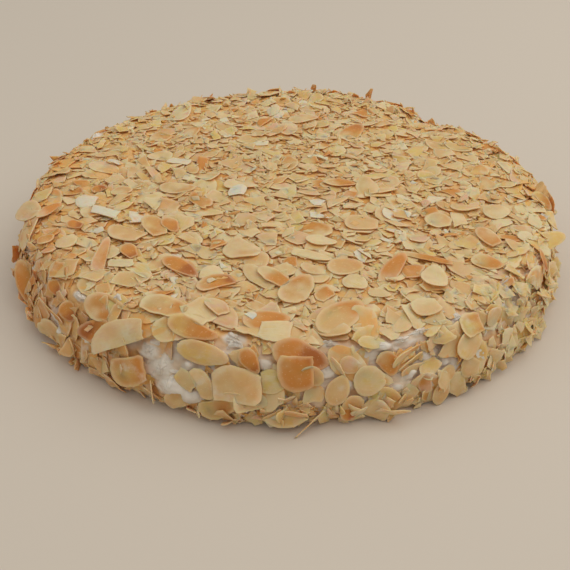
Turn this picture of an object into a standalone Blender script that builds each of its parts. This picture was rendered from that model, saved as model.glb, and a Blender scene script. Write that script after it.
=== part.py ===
"""Round almond torte, whole and uncut: a low cream-coated cake covered all over with sliced almonds.

One solid, "torte". The origin is the middle of its flat foot, +Z is up, and the side at -Y is the front.
Lengths are in metres.
"""

import math

import bmesh
import bpy
import numpy as np
from mathutils import Matrix, Vector

MM = 0.001

# The cream coat, as a turned section: flat foot, swollen belly, side that leans in, rounded shoulder and low
# dome. Lumps on the top and waves in the wall are sums of two cosines with that many lobes round the cake.
# The shoulder stands further out at both ends of the X axis and at the back than at the front.
FOOT_RADIUS = 132.5 * MM
BELLY_RADIUS = 134.5 * MM
BELLY_HEIGHT = 9 * MM
SHOULDER_RADIUS = 128 * MM
SHOULDER_ROUND = 7 * MM
SHOULDER_OUT = 2.6 * MM
EDGE_HEIGHT = 36 * MM
DOME_RISE = 1.5 * MM
LUMP_HEIGHT = 0.8 * MM
LUMP_LOBES = (3, 5)
LUMP_SLANTS = (40, -60)
LUMP_PHASE = 1.0
WALL_WAVE = 1.0 * MM
WAVE_LOBES = (2, 7)
WAVE_PHASES = (-0.6, 0.4)
WAVE_SECOND_SHARE = 0.6
CROWN_POINTS = 60
SHOULDER_POINTS = 15
WALL_POINTS = 29

# The dent in the rim at the back right, where the coat has slumped, and the heap of slices beside it, which
# ends suddenly at the dent
DENT_ANGLE = math.radians(48)
DENT_HALF_ANGLE = math.radians(5)
DENT_REACH = 15 * MM
DENT_DEPTH = 4 * MM
DENT_INSET = 3 * MM
HEAP_ANGLE = math.radians(76)
HEAP_HALF_ANGLE = math.radians(22)
HEAP_REACH = 22 * MM
HEAP_RISE = 4.2 * MM
HEAP_END = math.radians(50)
HEAP_STEP = math.radians(4)

# The coat's facets: sectors round the cake and rings down the section, by their run from the crown
SECTORS = 48
SECTION_RINGS = (45 * MM, 85 * MM, 113 * MM, 122 * MM, 127 * MM, 131 * MM, 137 * MM, 147 * MM, 158 * MM)

# The almond slices: a sunflower spread over the top, staggered rows round the side and a few that stand up
# out of the heap, each set in the cream
TOP_SLICES = 142
SIDE_ROWS = 4
SLICES_A_ROW = 40
HEAP_SLICES = 7
HEAP_INSET = 4 * MM
SLICE_SEED = 7
SLICE_THICKNESS = 1.4 * MM
TOP_SLICE_LENGTH = (13 * MM, 23 * MM)
SIDE_SLICE_LENGTH = (14 * MM, 24 * MM)
SLICE_SLENDERNESS = (0.50, 0.74)
SLICE_CORNERS = 6
EGG_SHAPE = 0.28
BROKEN_SHARE = 0.5
BREAK_PLACE = (0.15, 0.65)
TOP_TILT = (math.radians(3), math.radians(13))
SIDE_TILT = (math.radians(5), math.radians(28))
SKIRT_TILT = (math.radians(22), math.radians(44))
HEAP_TILT = (math.radians(10), math.radians(22))
SKIRT_DEPTH = 15 * MM
SKIRT_HEADING_SPREAD = 0.15
SKIRT_LEAN_SPREAD = 0.2
EDGE_BAND = 12 * MM
TOP_LIFT = 0.9 * MM
SIDE_LIFT = 1.5 * MM
FLOOR_CLEARANCE = 0.4 * MM
GOLDEN_ANGLE = math.pi * (3 - math.sqrt(5))

CREAM_COLOUR = (0.86, 0.72, 0.50, 1.0)
CREAM_ROUGHNESS = 0.6


def section_curve():
    """Radius and height along the section, from the middle of the top outwards and down to the foot."""
    crown = np.linspace(0, SHOULDER_RADIUS - SHOULDER_ROUND, CROWN_POINTS)
    crown_height = EDGE_HEIGHT + DOME_RISE * (1 - (crown / crown[-1]) ** 2)
    turn = np.linspace(0, math.pi / 2, SHOULDER_POINTS + 1)[1:]
    shoulder = SHOULDER_RADIUS - SHOULDER_ROUND * (1 - np.sin(turn))
    shoulder_height = EDGE_HEIGHT - SHOULDER_ROUND * (1 - np.cos(turn))
    wall_height = np.linspace(EDGE_HEIGHT - SHOULDER_ROUND, 0, WALL_POINTS + 1)[1:]
    above = np.clip((wall_height - BELLY_HEIGHT) / (EDGE_HEIGHT - SHOULDER_ROUND - BELLY_HEIGHT), 0, 1)
    below = np.clip(1 - wall_height / BELLY_HEIGHT, 0, 1)
    leaning_in = (BELLY_RADIUS - SHOULDER_RADIUS) * above**1.5
    tucked_under = (BELLY_RADIUS - FOOT_RADIUS) * below**2
    wall = BELLY_RADIUS - leaning_in - tucked_under
    radius = np.concatenate([crown, shoulder, wall])
    return radius, np.concatenate([crown_height, shoulder_height, wall_height])


RADII, HEIGHTS = section_curve()
RUN = np.concatenate([[0], np.cumsum(np.hypot(np.diff(RADII), np.diff(HEIGHTS)))])
SHOULDER_RUN = SHOULDER_RADIUS - SHOULDER_ROUND / 2


def coat_point(angle, run):
    """A point of the coat at an angle round the cake and a run down the section, uneven as spread cream."""
    radius = np.interp(run, RUN, RADII)
    height = np.interp(run, RUN, HEIGHTS)
    on_top = np.clip(height / EDGE_HEIGHT, 0, 1) ** 4
    lump = np.cos(LUMP_LOBES[0] * angle + LUMP_PHASE + LUMP_SLANTS[0] * radius)
    lump = lump + np.sin(LUMP_LOBES[1] * angle + LUMP_SLANTS[1] * radius)
    height = height + on_top * LUMP_HEIGHT * 0.5 * lump * np.clip(radius / BELLY_RADIUS * 2, 0, 1)
    wave = np.cos(WAVE_LOBES[0] * angle + WAVE_PHASES[0])
    wave = wave + WAVE_SECOND_SHARE * np.sin(WAVE_LOBES[1] * angle + WAVE_PHASES[1])
    radius = radius + WALL_WAVE * 0.6 * wave * (radius / BELLY_RADIUS) ** 2
    wider = max(1 + math.cos(2 * angle) + math.sin(angle), 0)
    upper = (np.clip(height / EDGE_HEIGHT, 0, 1) * radius / SHOULDER_RADIUS) ** 2
    radius = radius + SHOULDER_OUT * wider * upper
    turn = (angle - DENT_ANGLE + math.pi) % (2 * math.pi) - math.pi
    dent = np.exp(-((turn / DENT_HALF_ANGLE) ** 2) - ((run - SHOULDER_RUN) / DENT_REACH) ** 2)
    radius = radius - DENT_INSET * dent
    turn = angle - HEAP_ANGLE
    heap = np.exp(-((turn / HEAP_HALF_ANGLE) ** 2) - ((run - SHOULDER_RUN) / HEAP_REACH) ** 2)
    heap = heap * np.clip((angle - HEAP_END) / HEAP_STEP, 0, 1)
    height = height + on_top * (HEAP_RISE * heap - DENT_DEPTH * dent)
    return Vector((radius * math.cos(angle), radius * math.sin(angle), height))


def coat_frame(angle, run):
    """The coat's point, outward normal and two directions along it: round the cake and down the section."""
    step = 0.5 * MM
    inner, outer = max(run - step, 0), min(run + step, RUN[-1])
    turn = step / max(float(np.interp(run, RUN, RADII)), 5 * MM)
    down = (coat_point(angle, outer) - coat_point(angle, inner)).normalized()
    round_cake = (coat_point(angle + turn, run) - coat_point(angle - turn, run)).normalized()
    normal = down.cross(round_cake).normalized()
    return coat_point(angle, run), normal, round_cake, round_cake.cross(normal)


def new_object(name, mesh):
    """Makes an object from a bmesh and links it to the scene."""
    data = bpy.data.meshes.new(name)
    bmesh.ops.recalc_face_normals(mesh, faces=mesh.faces)
    mesh.to_mesh(data)
    mesh.free()
    thing = bpy.data.objects.new(name, data)
    bpy.context.scene.collection.objects.link(thing)
    return thing


def make_coat():
    """The cream-coated body: rings down the section from the crown's middle, closed by a flat foot."""
    mesh = bmesh.new()
    crown = mesh.verts.new(coat_point(0.0, 0.0))
    angles = [2 * math.pi * k / SECTORS for k in range(SECTORS)]
    runs = list(SECTION_RINGS) + [float(RUN[-1])]
    rings = [[mesh.verts.new(coat_point(a, run)) for a in angles] for run in runs]
    for k in range(SECTORS):
        after = (k + 1) % SECTORS
        mesh.faces.new((crown, rings[0][k], rings[0][after]))
        for upper, lower in zip(rings, rings[1:]):
            mesh.faces.new((upper[k], lower[k], lower[after], upper[after]))
    mesh.faces.new(rings[-1])
    return new_object("torte", mesh)


def between(limits, share):
    return limits[0] + (limits[1] - limits[0]) * share


def slice_outline(length, width, broken, draw):
    """A slice's outline: egg-shaped when whole, cut off straight on one side when broken."""
    points = []
    cut = between(BREAK_PLACE, draw) * length / 2
    for k in range(SLICE_CORNERS):
        turn = 2 * math.pi * (k + 0.5 * draw) / SLICE_CORNERS
        x = math.cos(turn) * length / 2
        y = math.sin(turn) * width / 2 * (1 - EGG_SHAPE * math.cos(turn))
        points.append((min(x, cut) if broken else x, y))
    return points


def slice_places():
    """Angle, run along the section, draws and extra tilt of each slice: over the top, in rows down the side,
    then along the heap."""
    generator = np.random.default_rng(SLICE_SEED)
    for k in range(TOP_SLICES):
        draw = generator.random(8)
        run = SHOULDER_RUN * math.sqrt((k + 0.5) / TOP_SLICES)
        yield (k * GOLDEN_ANGLE) % (2 * math.pi), run, draw, 0.0
    row_height = (RUN[-1] - SHOULDER_RUN - SKIRT_DEPTH / 4) / SIDE_ROWS
    for row in range(SIDE_ROWS):
        for k in range(SLICES_A_ROW):
            draw = generator.random(8)
            angle = 2 * math.pi * (k + 0.5 * (row % 2) + 0.5 * (draw[0] - 0.5)) / SLICES_A_ROW
            run = SHOULDER_RUN + row_height * (row + 0.5 + 0.5 * (draw[1] - 0.5))
            yield angle, run, draw, 0.0
    for k in range(HEAP_SLICES):
        draw = generator.random(8)
        angle = HEAP_ANGLE + HEAP_HALF_ANGLE * (2 * (k + 0.5) / HEAP_SLICES - 1)
        yield angle, SHOULDER_RUN - HEAP_INSET, draw, between(HEAP_TILT, draw[3])


def add_slice(mesh, angle, run, draw, extra_tilt):
    """Adds one slice as a flat plate, tilted out of the coat so that part of it is sunk in the cream."""
    point, normal, round_cake, down = coat_frame(angle, run)
    side = min(max((run - SHOULDER_RUN) / EDGE_BAND + 0.5, 0), 1)
    length = between(TOP_SLICE_LENGTH, draw[2]) * (1 - side) + between(SIDE_SLICE_LENGTH, draw[2]) * side
    width = length * between(SLICE_SLENDERNESS, (draw[2] + draw[7]) % 1)
    skirt = min(max((run - RUN[-1] + SKIRT_DEPTH) / (SKIRT_DEPTH / 2), 0), 1)
    tilt = between(TOP_TILT, draw[3]) * (1 - side) + between(SIDE_TILT, draw[3]) * (side - skirt)
    tilt = tilt + between(SKIRT_TILT, draw[3]) * skirt + extra_tilt
    heading = 2 * math.pi * (draw[4] - 0.5) * between((1, SKIRT_HEADING_SPREAD), skirt)
    across = math.cos(heading) * round_cake + math.sin(heading) * down
    lean = 2 * math.pi * (draw[5] - 0.5) * between((1, SKIRT_LEAN_SPREAD), skirt)
    axis = math.sin(lean) * down - math.cos(lean) * round_cake
    turn = Matrix.Rotation(tilt, 3, axis)
    up = turn @ normal
    along = (turn @ across).normalized()
    aside = up.cross(along)
    centre = point + normal * between((TOP_LIFT, SIDE_LIFT), side)
    outline = slice_outline(length, width, draw[6] < BROKEN_SHARE, draw[7])
    faces = [centre + along * x + aside * y for x, y in outline]
    lowest = min(p.z - SLICE_THICKNESS / 2 * abs(up.z) for p in faces)
    lift = Vector((0, 0, max(FLOOR_CLEARANCE - lowest, 0)))
    rim = [[mesh.verts.new(p + up * h * SLICE_THICKNESS + lift) for p in faces] for h in (0.5, -0.5)]
    count = len(faces)
    mesh.faces.new(rim[0])
    mesh.faces.new(rim[1][::-1])
    for k in range(count):
        after = (k + 1) % count
        mesh.faces.new((rim[0][k], rim[1][k], rim[1][after], rim[0][after]))


def make_slices():
    """Every slice as its own object, gathered in one collection for the union."""
    gathered = bpy.data.collections.new("slices")
    bpy.context.scene.collection.children.link(gathered)
    for number, (angle, run, draw, extra_tilt) in enumerate(slice_places()):
        mesh = bmesh.new()
        add_slice(mesh, angle, float(run), [float(d) for d in draw], float(extra_tilt))
        thing = new_object(f"slice_{number}", mesh)
        bpy.context.scene.collection.objects.unlink(thing)
        gathered.objects.link(thing)
    return gathered


def fuse(body, gathered):
    """Joins the slices to the body with one union, then removes them."""
    union = body.modifiers.new("slices", "BOOLEAN")
    union.operation = "UNION"
    union.solver = "EXACT"
    union.operand_type = "COLLECTION"
    union.collection = gathered
    graph = bpy.context.evaluated_depsgraph_get()
    joined = bpy.data.meshes.new_from_object(body.evaluated_get(graph))
    body.modifiers.clear()
    body.data = joined
    for thing in list(gathered.objects):
        bpy.data.objects.remove(thing)
    bpy.data.collections.remove(gathered)


def keep_outer_shell(body):
    """Fills hollows that the union sealed and drops loose scraps, by keeping the largest shell alone."""
    mesh = bmesh.new()
    mesh.from_mesh(body.data)
    bmesh.ops.dissolve_degenerate(mesh, edges=mesh.edges, dist=0.000001)
    bmesh.ops.triangulate(mesh, faces=mesh.faces)
    unseen = set(mesh.verts)
    shells = []
    while unseen:
        stack = [unseen.pop()]
        shell = set(stack)
        while stack:
            for edge in stack.pop().link_edges:
                for vert in edge.verts:
                    if vert in unseen:
                        unseen.remove(vert)
                        shell.add(vert)
                        stack.append(vert)
        shells.append(shell)
    largest = max(shells, key=len)
    loose = [v for shell in shells if shell is not largest for v in shell]
    bmesh.ops.delete(mesh, geom=loose, context="VERTS")
    mesh.to_mesh(body.data)
    mesh.free()


def main():
    for thing in list(bpy.data.objects):
        bpy.data.objects.remove(thing)
    body = make_coat()
    fuse(body, make_slices())
    keep_outer_shell(body)
    finish = bpy.data.materials.new("almonds_and_cream")
    finish.use_nodes = True
    shader = finish.node_tree.nodes["Principled BSDF"]
    shader.inputs["Base Color"].default_value = CREAM_COLOUR
    shader.inputs["Roughness"].default_value = CREAM_ROUGHNESS
    shader.inputs["Metallic"].default_value = 0.0
    body.data.materials.clear()
    body.data.materials.append(finish)


main()
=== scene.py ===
"""Round almond torte, whole and uncut: a cake under a spread coat of whipped cream, covered with toasted
sliced almonds. The slices lie on each other as they fell: each one rests on the pile that is there before."""

import math
from collections import namedtuple

import bpy
import numpy as np
from mathutils import Matrix, Vector
from mathutils.bvhtree import BVHTree


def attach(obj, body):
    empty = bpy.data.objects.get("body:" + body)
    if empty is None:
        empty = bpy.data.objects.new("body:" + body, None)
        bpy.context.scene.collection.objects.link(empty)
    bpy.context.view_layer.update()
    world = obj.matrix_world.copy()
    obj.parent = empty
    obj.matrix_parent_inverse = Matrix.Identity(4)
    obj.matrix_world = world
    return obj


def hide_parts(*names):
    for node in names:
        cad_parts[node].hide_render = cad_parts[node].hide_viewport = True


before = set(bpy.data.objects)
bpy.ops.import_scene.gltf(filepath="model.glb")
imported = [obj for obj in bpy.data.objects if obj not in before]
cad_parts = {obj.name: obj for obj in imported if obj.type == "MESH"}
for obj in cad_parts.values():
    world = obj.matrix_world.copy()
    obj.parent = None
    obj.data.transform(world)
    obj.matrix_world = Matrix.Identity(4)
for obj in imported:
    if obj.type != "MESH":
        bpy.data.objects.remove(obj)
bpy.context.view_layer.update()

# The view that the torte is seen from: a lens a little longer than its frame, 47 cm away and a third of
# a right angle up. Slices that show plainly are placed through it, so it comes first.
MM = 0.001
FRAME_PIXELS = 570
FOCAL_PIXELS = 900
VIEW_DISTANCE = 468 * MM
VIEW_HEIGHT_ANGLE = math.radians(33.7)
AIM_LEFT = -1.25 * MM
AIM_NEAR = -14 * MM
PITCH = math.radians(-1.32)
ROLL = math.radians(0.91)
SENSOR_WIDTH = 36

camera = bpy.data.objects.new("camera", bpy.data.cameras.new("camera"))
bpy.context.scene.collection.objects.link(camera)
bpy.context.scene.camera = camera
camera.data.sensor_width = SENSOR_WIDTH
camera.data.lens = SENSOR_WIDTH * FOCAL_PIXELS / FRAME_PIXELS
camera_place = Vector((
    AIM_LEFT,
    AIM_NEAR - VIEW_DISTANCE * math.cos(VIEW_HEIGHT_ANGLE),
    VIEW_DISTANCE * math.sin(VIEW_HEIGHT_ANGLE),
))
camera.matrix_world = (
    Matrix.Translation(camera_place)
    @ Matrix.Rotation(math.pi / 2 - VIEW_HEIGHT_ANGLE + PITCH, 4, "X")
    @ Matrix.Rotation(ROLL, 4, "Z")
)


def sight_line(pixel_x, pixel_y):
    """The direction from the camera through a pixel, counted from the frame's upper left corner."""
    across = (pixel_x - FRAME_PIXELS / 2) / FOCAL_PIXELS
    upward = (FRAME_PIXELS / 2 - pixel_y) / FOCAL_PIXELS
    return (camera.matrix_world.to_3x3() @ Vector((across, upward, -1))).normalized()


# The coat: whipped cream spread over the cake with a spatula. It is a turned section with a low dome, a
# rounded shoulder, a side that leans in above a swollen belly and a flat foot, torn into small ridges
# where the slices were pressed in. It lies a pile's depth below the slices' own outer form.
FOOT_RADIUS = 131.5 * MM
BELLY_RADIUS = 133.5 * MM
BELLY_HEIGHT = 9 * MM
SHOULDER_RADIUS = 127 * MM
SHOULDER_ROUND = 9 * MM
SHOULDER_OUT = 2.6 * MM
EDGE_HEIGHT = 34.2 * MM
DOME_RISE = 1.5 * MM
LUMP_HEIGHT = 0.8 * MM
WALL_WAVE = 1.0 * MM
DENT_ANGLE = math.radians(48)
DENT_HALF_ANGLE = math.radians(5)
DENT_REACH = 15 * MM
DENT_DEPTH = 4 * MM
DENT_INSET = 3 * MM
HEAP_ANGLE = math.radians(76)
HEAP_HALF_ANGLE = math.radians(22)
HEAP_REACH = 22 * MM
HEAP_RISE = 4.2 * MM
HEAP_END = math.radians(50)
HEAP_STEP = math.radians(4)
CROWN_STEPS = 60
SHOULDER_STEPS = 16
WALL_STEPS = 30
RIDGES = ((9 * MM, 0.7 * MM, 11), (4 * MM, 0.5 * MM, 12), (1.7 * MM, 0.28 * MM, 13))
CREAM = (0.93, 0.84, 0.71)
# A darker, greyer copy of the cream, laid in cloudy patches as painted shade.
CREAM_PAINTED_SHADE = (0.70, 0.59, 0.46)
# The almond meal's colours: a warm orange, partly its own colour and partly painted shade where it fills the
# gaps of the pile.
CRUMB_PALE = (0.88, 0.56, 0.22)
CRUMB_DARK = (0.80, 0.41, 0.12)


def coat_section():
    """Radius and height along the section, from the middle of the top outwards and down to the foot."""
    crown = np.linspace(0, SHOULDER_RADIUS - SHOULDER_ROUND, CROWN_STEPS)
    crown_height = EDGE_HEIGHT + DOME_RISE * (1 - (crown / crown[-1]) ** 2)
    turn = np.linspace(0, math.pi / 2, SHOULDER_STEPS)[1:]
    shoulder = SHOULDER_RADIUS - SHOULDER_ROUND * (1 - np.sin(turn))
    shoulder_height = EDGE_HEIGHT - SHOULDER_ROUND * (1 - np.cos(turn))
    wall_height = np.linspace(EDGE_HEIGHT - SHOULDER_ROUND, 0, WALL_STEPS)[1:]
    above = np.clip((wall_height - BELLY_HEIGHT) / (EDGE_HEIGHT - SHOULDER_ROUND - BELLY_HEIGHT), 0, 1)
    below = np.clip(1 - wall_height / BELLY_HEIGHT, 0, 1)
    lean = (BELLY_RADIUS - SHOULDER_RADIUS) * above**1.5
    tuck = (BELLY_RADIUS - FOOT_RADIUS) * below**2
    radii = np.concatenate([crown, shoulder, BELLY_RADIUS - lean - tuck])
    heights = np.concatenate([crown_height, shoulder_height, wall_height])
    return radii, heights


RADII, HEIGHTS = coat_section()
RUN = np.concatenate([[0], np.cumsum(np.hypot(np.diff(RADII), np.diff(HEIGHTS)))])
SHOULDER_RUN = SHOULDER_RADIUS - SHOULDER_ROUND / 2
LATTICE_VALUES = 4096
LATTICE_PRIMES = (73856093, 19349663, 83492791)


def lattice_noise(points, cell, seed):
    """Smooth noise from -1 to 1: a random value at each corner of a lattice, picked by its three counts times
    large primes, and blended along each axis by 3t^2 - 2t^3, where t is how far the point is from one
    corner to the next."""
    scaled = points / cell
    corner = np.floor(scaled).astype(np.int64)
    share = scaled - corner
    share = share * share * (3 - 2 * share)
    values = np.random.default_rng(seed).random(LATTICE_VALUES) * 2 - 1
    total = np.zeros(points.shape[:-1])
    for dx in (0, 1):
        for dy in (0, 1):
            for dz in (0, 1):
                key = (corner[..., 0] + dx) * LATTICE_PRIMES[0]
                key = key ^ (corner[..., 1] + dy) * LATTICE_PRIMES[1]
                key = key ^ (corner[..., 2] + dz) * LATTICE_PRIMES[2]
                weight = np.abs(1 - dx - share[..., 0]) * np.abs(1 - dy - share[..., 1])
                total += values[key % LATTICE_VALUES] * weight * np.abs(1 - dz - share[..., 2])
    return total


def turn_from(angle, middle):
    """How far an angle is from a middle one round the cake, between minus and plus half a round."""
    return (angle - middle + math.pi) % (2 * math.pi) - math.pi


def plain_coat(angle, run):
    """The spread form at an angle round the cake and a run along the section: the section with low lumps on
    top and waves round its wall, a few cosines and sines each, and with its shoulder further out at the
    sides and the back than at the front. The dent at the back right and the heap beside it are bell curves,
    and the heap ends suddenly at the dent."""
    radius = np.interp(run, RUN, RADII)
    height = np.interp(run, RUN, HEIGHTS)
    on_top = np.clip(height / EDGE_HEIGHT, 0, 1) ** 4
    lump = np.cos(3 * angle + 1.0 + 40 * radius) + np.sin(5 * angle - 60 * radius)
    height = height + on_top * LUMP_HEIGHT * 0.5 * lump * np.clip(radius / BELLY_RADIUS * 2, 0, 1)
    wave = np.cos(2 * angle - 0.6) + 0.6 * np.sin(7 * angle + 0.4)
    radius = radius + WALL_WAVE * 0.6 * wave * (radius / BELLY_RADIUS) ** 2
    wider = np.maximum(1 + np.cos(2 * angle) + np.sin(angle), 0)
    upper = np.clip(height / EDGE_HEIGHT, 0, 1) * radius / SHOULDER_RADIUS
    radius = radius + SHOULDER_OUT * wider * upper**2
    turn = turn_from(angle, DENT_ANGLE)
    dent = np.exp(-((turn / DENT_HALF_ANGLE) ** 2) - ((run - SHOULDER_RUN) / DENT_REACH) ** 2)
    radius = radius - DENT_INSET * dent
    turn = turn_from(angle, HEAP_ANGLE)
    heap = np.exp(-((turn / HEAP_HALF_ANGLE) ** 2) - ((run - SHOULDER_RUN) / HEAP_REACH) ** 2)
    heap = heap * np.clip((turn + HEAP_ANGLE - HEAP_END) / HEAP_STEP, 0, 1)
    height = height + on_top * (HEAP_RISE * heap - DENT_DEPTH * dent)
    return np.stack([radius * np.cos(angle), radius * np.sin(angle), height], axis=-1)


def outward(points):
    """Unit directions out of a grid of points whose rows go out and down, and columns round the cake."""
    down = np.gradient(points, axis=0)
    round_cake = np.gradient(points, axis=1)
    normal = np.cross(down, round_cake)
    return normal / np.maximum(np.linalg.norm(normal, axis=-1, keepdims=True), 1e-12)


# Where the cream stands bare between the slices, up to their faces. The spots at the front are given by
# where they are seen, how far across they are and how far they rise, in millimetres. The back has some at
# random.
Spot = namedtuple("Spot", "x y across down rise")
BARE = {
    "left_patch_top": Spot(152, 353, 9, 8, 1.7),
    "left_patch_middle": Spot(163, 370, 11, 9, 2.0),
    "left_patch_foot": Spot(172, 388, 11, 8, 1.8),
    "left_patch_tail": Spot(194, 398, 12, 5, 1.4),
    "over_olive": Spot(156, 328, 5, 4, 1.3),
    "beside_olive": Spot(190, 368, 4, 7, 1.2),
    "by_orange_oval": Spot(234, 340, 8, 6, 1.4),
    "under_trapezoid": Spot(268, 366, 7, 3, 1.4),
    "bottom_smear": Spot(246, 408, 10, 3, 1.1),
    "left_front": Spot(85, 339, 5, 4, 1.2),
    "below_left_rim": Spot(120, 297, 5, 4, 1.4),
    "left_rim": Spot(80, 298, 8, 3, 1.4),
    "left_side": Spot(56, 316, 5, 6, 1.0),
    "left_low": Spot(62, 333, 4, 4, 1.0),
    "far_left": Spot(34, 268, 3, 5, 1.2),
    "far_left_rim": Spot(20, 232, 4, 5, 1.2),
    "centre_ridge": Spot(333, 343, 7, 3, 1.4),
    "centre_low": Spot(326, 371, 7, 5, 1.4),
    "centre_foot": Spot(352, 388, 4, 4, 1.2),
    "right_ridge_start": Spot(388, 347, 7, 2.5, 1.4),
    "right_ridge_middle": Spot(406, 341, 8, 2.5, 1.5),
    "right_ridge_end": Spot(424, 332, 8, 2.5, 1.4),
    "right_low": Spot(415, 374, 3, 4, 1.2),
    "right_foot": Spot(400, 389, 5, 3, 1.3),
    "right_web": Spot(447, 358, 4, 5, 1.2),
    "right_rim": Spot(462, 317, 5, 4, 1.5),
    "far_right_rim": Spot(510, 278, 6, 3, 1.5),
    "far_right_edge": Spot(520, 272, 5, 3, 1.5),
    "far_right_low": Spot(512, 290, 3, 6, 1.3),
    "back_right": Spot(546, 215, 6, 5, 1.4),
    "on_top": Spot(372, 267, 4, 3, 1.5),
}
BARE_AT_BACK = 30
BARE_SEED = 17
PILE_DEPTH = 1.6 * MM
SEARCH_ANGLES = 361
SEARCH_RUNS = 120
SEARCH_INWARDS = 40 * MM
TORN_CELL = 3.5 * MM
TORN_SHARE = 0.6
TORN_SEED = 31


def seen_spots():
    """Rows of angle, run, half width, half height and rise, found where sight lines meet the coat a pile's
    depth out."""
    angles = np.linspace(-math.pi, math.pi, SEARCH_ANGLES)
    runs = np.linspace(SHOULDER_RUN - SEARCH_INWARDS, RUN[-1], SEARCH_RUNS)
    points = plain_coat(angles[None, :], runs[:, None])
    raised = points + outward(points) * PILE_DEPTH
    first = np.arange(points.shape[0] * points.shape[1]).reshape(points.shape[:2])
    quads = np.stack([first[:-1, :-1], first[1:, :-1], first[1:, 1:], first[:-1, 1:]], axis=-1)
    tree = BVHTree.FromPolygons(raised.reshape(-1, 3).tolist(), quads.reshape(-1, 4).tolist())
    rows = []
    for spot in BARE.values():
        _, _, face, _ = tree.ray_cast(camera_place, sight_line(spot.x, spot.y))
        if face is not None:
            row, column = divmod(face, len(angles) - 1)
            half_width, half_height = spot.across * MM / 2, spot.down * MM / 2
            rows.append((angles[column], runs[row], half_width, half_height, spot.rise * MM))
    return rows


def back_spots():
    """Rows of the same kind, drawn round the back half of the side: 1.5 to 4.5 mm in half width, 1.2 to
    3.2 mm in half height, and the higher the wider."""
    generator = np.random.default_rng(BARE_SEED)
    angle = generator.random(BARE_AT_BACK) * math.pi
    run = SHOULDER_RUN + (RUN[-1] - SHOULDER_RUN) * generator.random(BARE_AT_BACK)
    across = (1.5 + 3 * generator.random(BARE_AT_BACK)) * MM
    down = (1.2 + 2 * generator.random(BARE_AT_BACK)) * MM
    return list(zip(angle, run, across, down, 1.0 * MM + 0.1 * across))


SPOTS = np.array(seen_spots() + back_spots())


def bareness(angle, run, points):
    """How bare the cream is, from 0 to 1, and how far it rises there: bell curves round the spots, with
    their edges warped by noise so that they look torn."""
    torn = 1 + TORN_SHARE * lattice_noise(points, TORN_CELL, TORN_SEED)
    bare = np.zeros(points.shape[:-1])
    rise = np.zeros(points.shape[:-1])
    for spot_angle, spot_run, half_width, half_height, spot_rise in SPOTS:
        turn = turn_from(angle, spot_angle)
        away = ((turn * BELLY_RADIUS / half_width) ** 2 + ((run - spot_run) / half_height) ** 2) * torn
        bell = np.exp(-(away**1.5))
        bare = np.maximum(bare, bell)
        rise = np.maximum(rise, spot_rise * bell)
    return bare, rise


def square_to_section(angle, run):
    """Directions square to the section, from how its heights and radii change along the run."""
    outwards = -np.interp(run, RUN, np.gradient(HEIGHTS, RUN))
    upwards = np.interp(run, RUN, np.gradient(RADII, RUN))
    return np.stack([outwards * np.cos(angle), outwards * np.sin(angle), upwards + 0 * angle], axis=-1)


def spread_coat(angle, run):
    """The spread form with its bare spots raised square to the section."""
    points = plain_coat(angle, run)
    _, rise = bareness(angle, run, points)
    return points + square_to_section(angle, run) * rise[..., None]


def sharp_ridges(points, sizes):
    """Ridges of several sizes, as one less twice the size of lattice noise, each with its cell, height and
    seed."""
    return sum(size * (1 - 2 * np.abs(lattice_noise(points, cell, seed))) for cell, size, seed in sizes)


def cream_relief(points, bare):
    """How far torn cream stands out: sharp ridges, twice as deep where the cream is bare. They fade out in
    the 4 mm below the rim and the 3 mm above the foot."""
    relief = sharp_ridges(points, RIDGES)
    on_side = np.clip((EDGE_HEIGHT - 1 * MM - points[..., 2]) / (4 * MM), 0, 1)
    return relief * (1 + bare) * on_side * np.clip(points[..., 2] / (3 * MM), 0, 1)


def coat_grid(angles, runs):
    """Points of the torn coat and its outward directions on a grid of runs (rows) and angles (columns)."""
    before = angles[:1] - (angles[1] - angles[0])
    beyond = angles[-1:] + angles[1] - angles[0]
    padded = np.concatenate([before, angles, beyond])
    smooth = spread_coat(padded[None, :], runs[:, None])
    normal = outward(smooth)[:, 1:-1]
    smooth = smooth[:, 1:-1]
    bare, _ = bareness(angles[None, :], runs[:, None], smooth)
    return smooth + normal * cream_relief(smooth, bare)[..., None], normal


def shell_of_rings(name, rings, crown, foot):
    """A closed shell: a fan from the crown, a wall of quads between the rings and a fan to the foot."""
    rows, columns = rings.shape[:2]
    here = np.arange(columns)
    after = (here + 1) % columns
    row = 1 + columns * np.arange(rows - 1)[:, None]
    quads = np.stack([row + here, row + columns + here, row + columns + after, row + after], axis=-1)
    last = 1 + columns * (rows - 1)
    top_fan = np.stack([0 * here, 1 + here, 1 + after], axis=-1)
    foot_fan = np.stack([0 * here + 1 + rows * columns, last + after, last + here], axis=-1)
    points = np.concatenate([[crown], rings.reshape(-1, 3), [foot]])
    faces = top_fan.tolist() + quads.reshape(-1, 4).tolist() + foot_fan.tolist()
    mesh = bpy.data.meshes.new(name)
    mesh.from_pydata(points.tolist(), [], faces)
    mesh.shade_smooth()
    thing = bpy.data.objects.new(name, mesh)
    bpy.context.scene.collection.objects.link(thing)
    return thing


def new_material(name):
    """A material with nodes: returns it with its node tree and its Principled shader."""
    material = bpy.data.materials.new(name)
    material.use_nodes = True
    return material, material.node_tree, material.node_tree.nodes["Principled BSDF"]


def node(tree, kind, settings=None, **inputs):
    """Adds a node, sets its properties, and sets or links its inputs. An input goes by its name, with an
    underscore for each space, or by its number after an underscore."""
    made = tree.nodes.new(kind)
    for key, value in (settings or {}).items():
        setattr(made, key, value)
    for key, value in inputs.items():
        socket = made.inputs[int(key[1:])] if key[0] == "_" else made.inputs[key.replace("_", " ")]
        if isinstance(value, bpy.types.NodeSocket):
            tree.links.new(value, socket)
        else:
            socket.default_value = value
    return made


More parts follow.
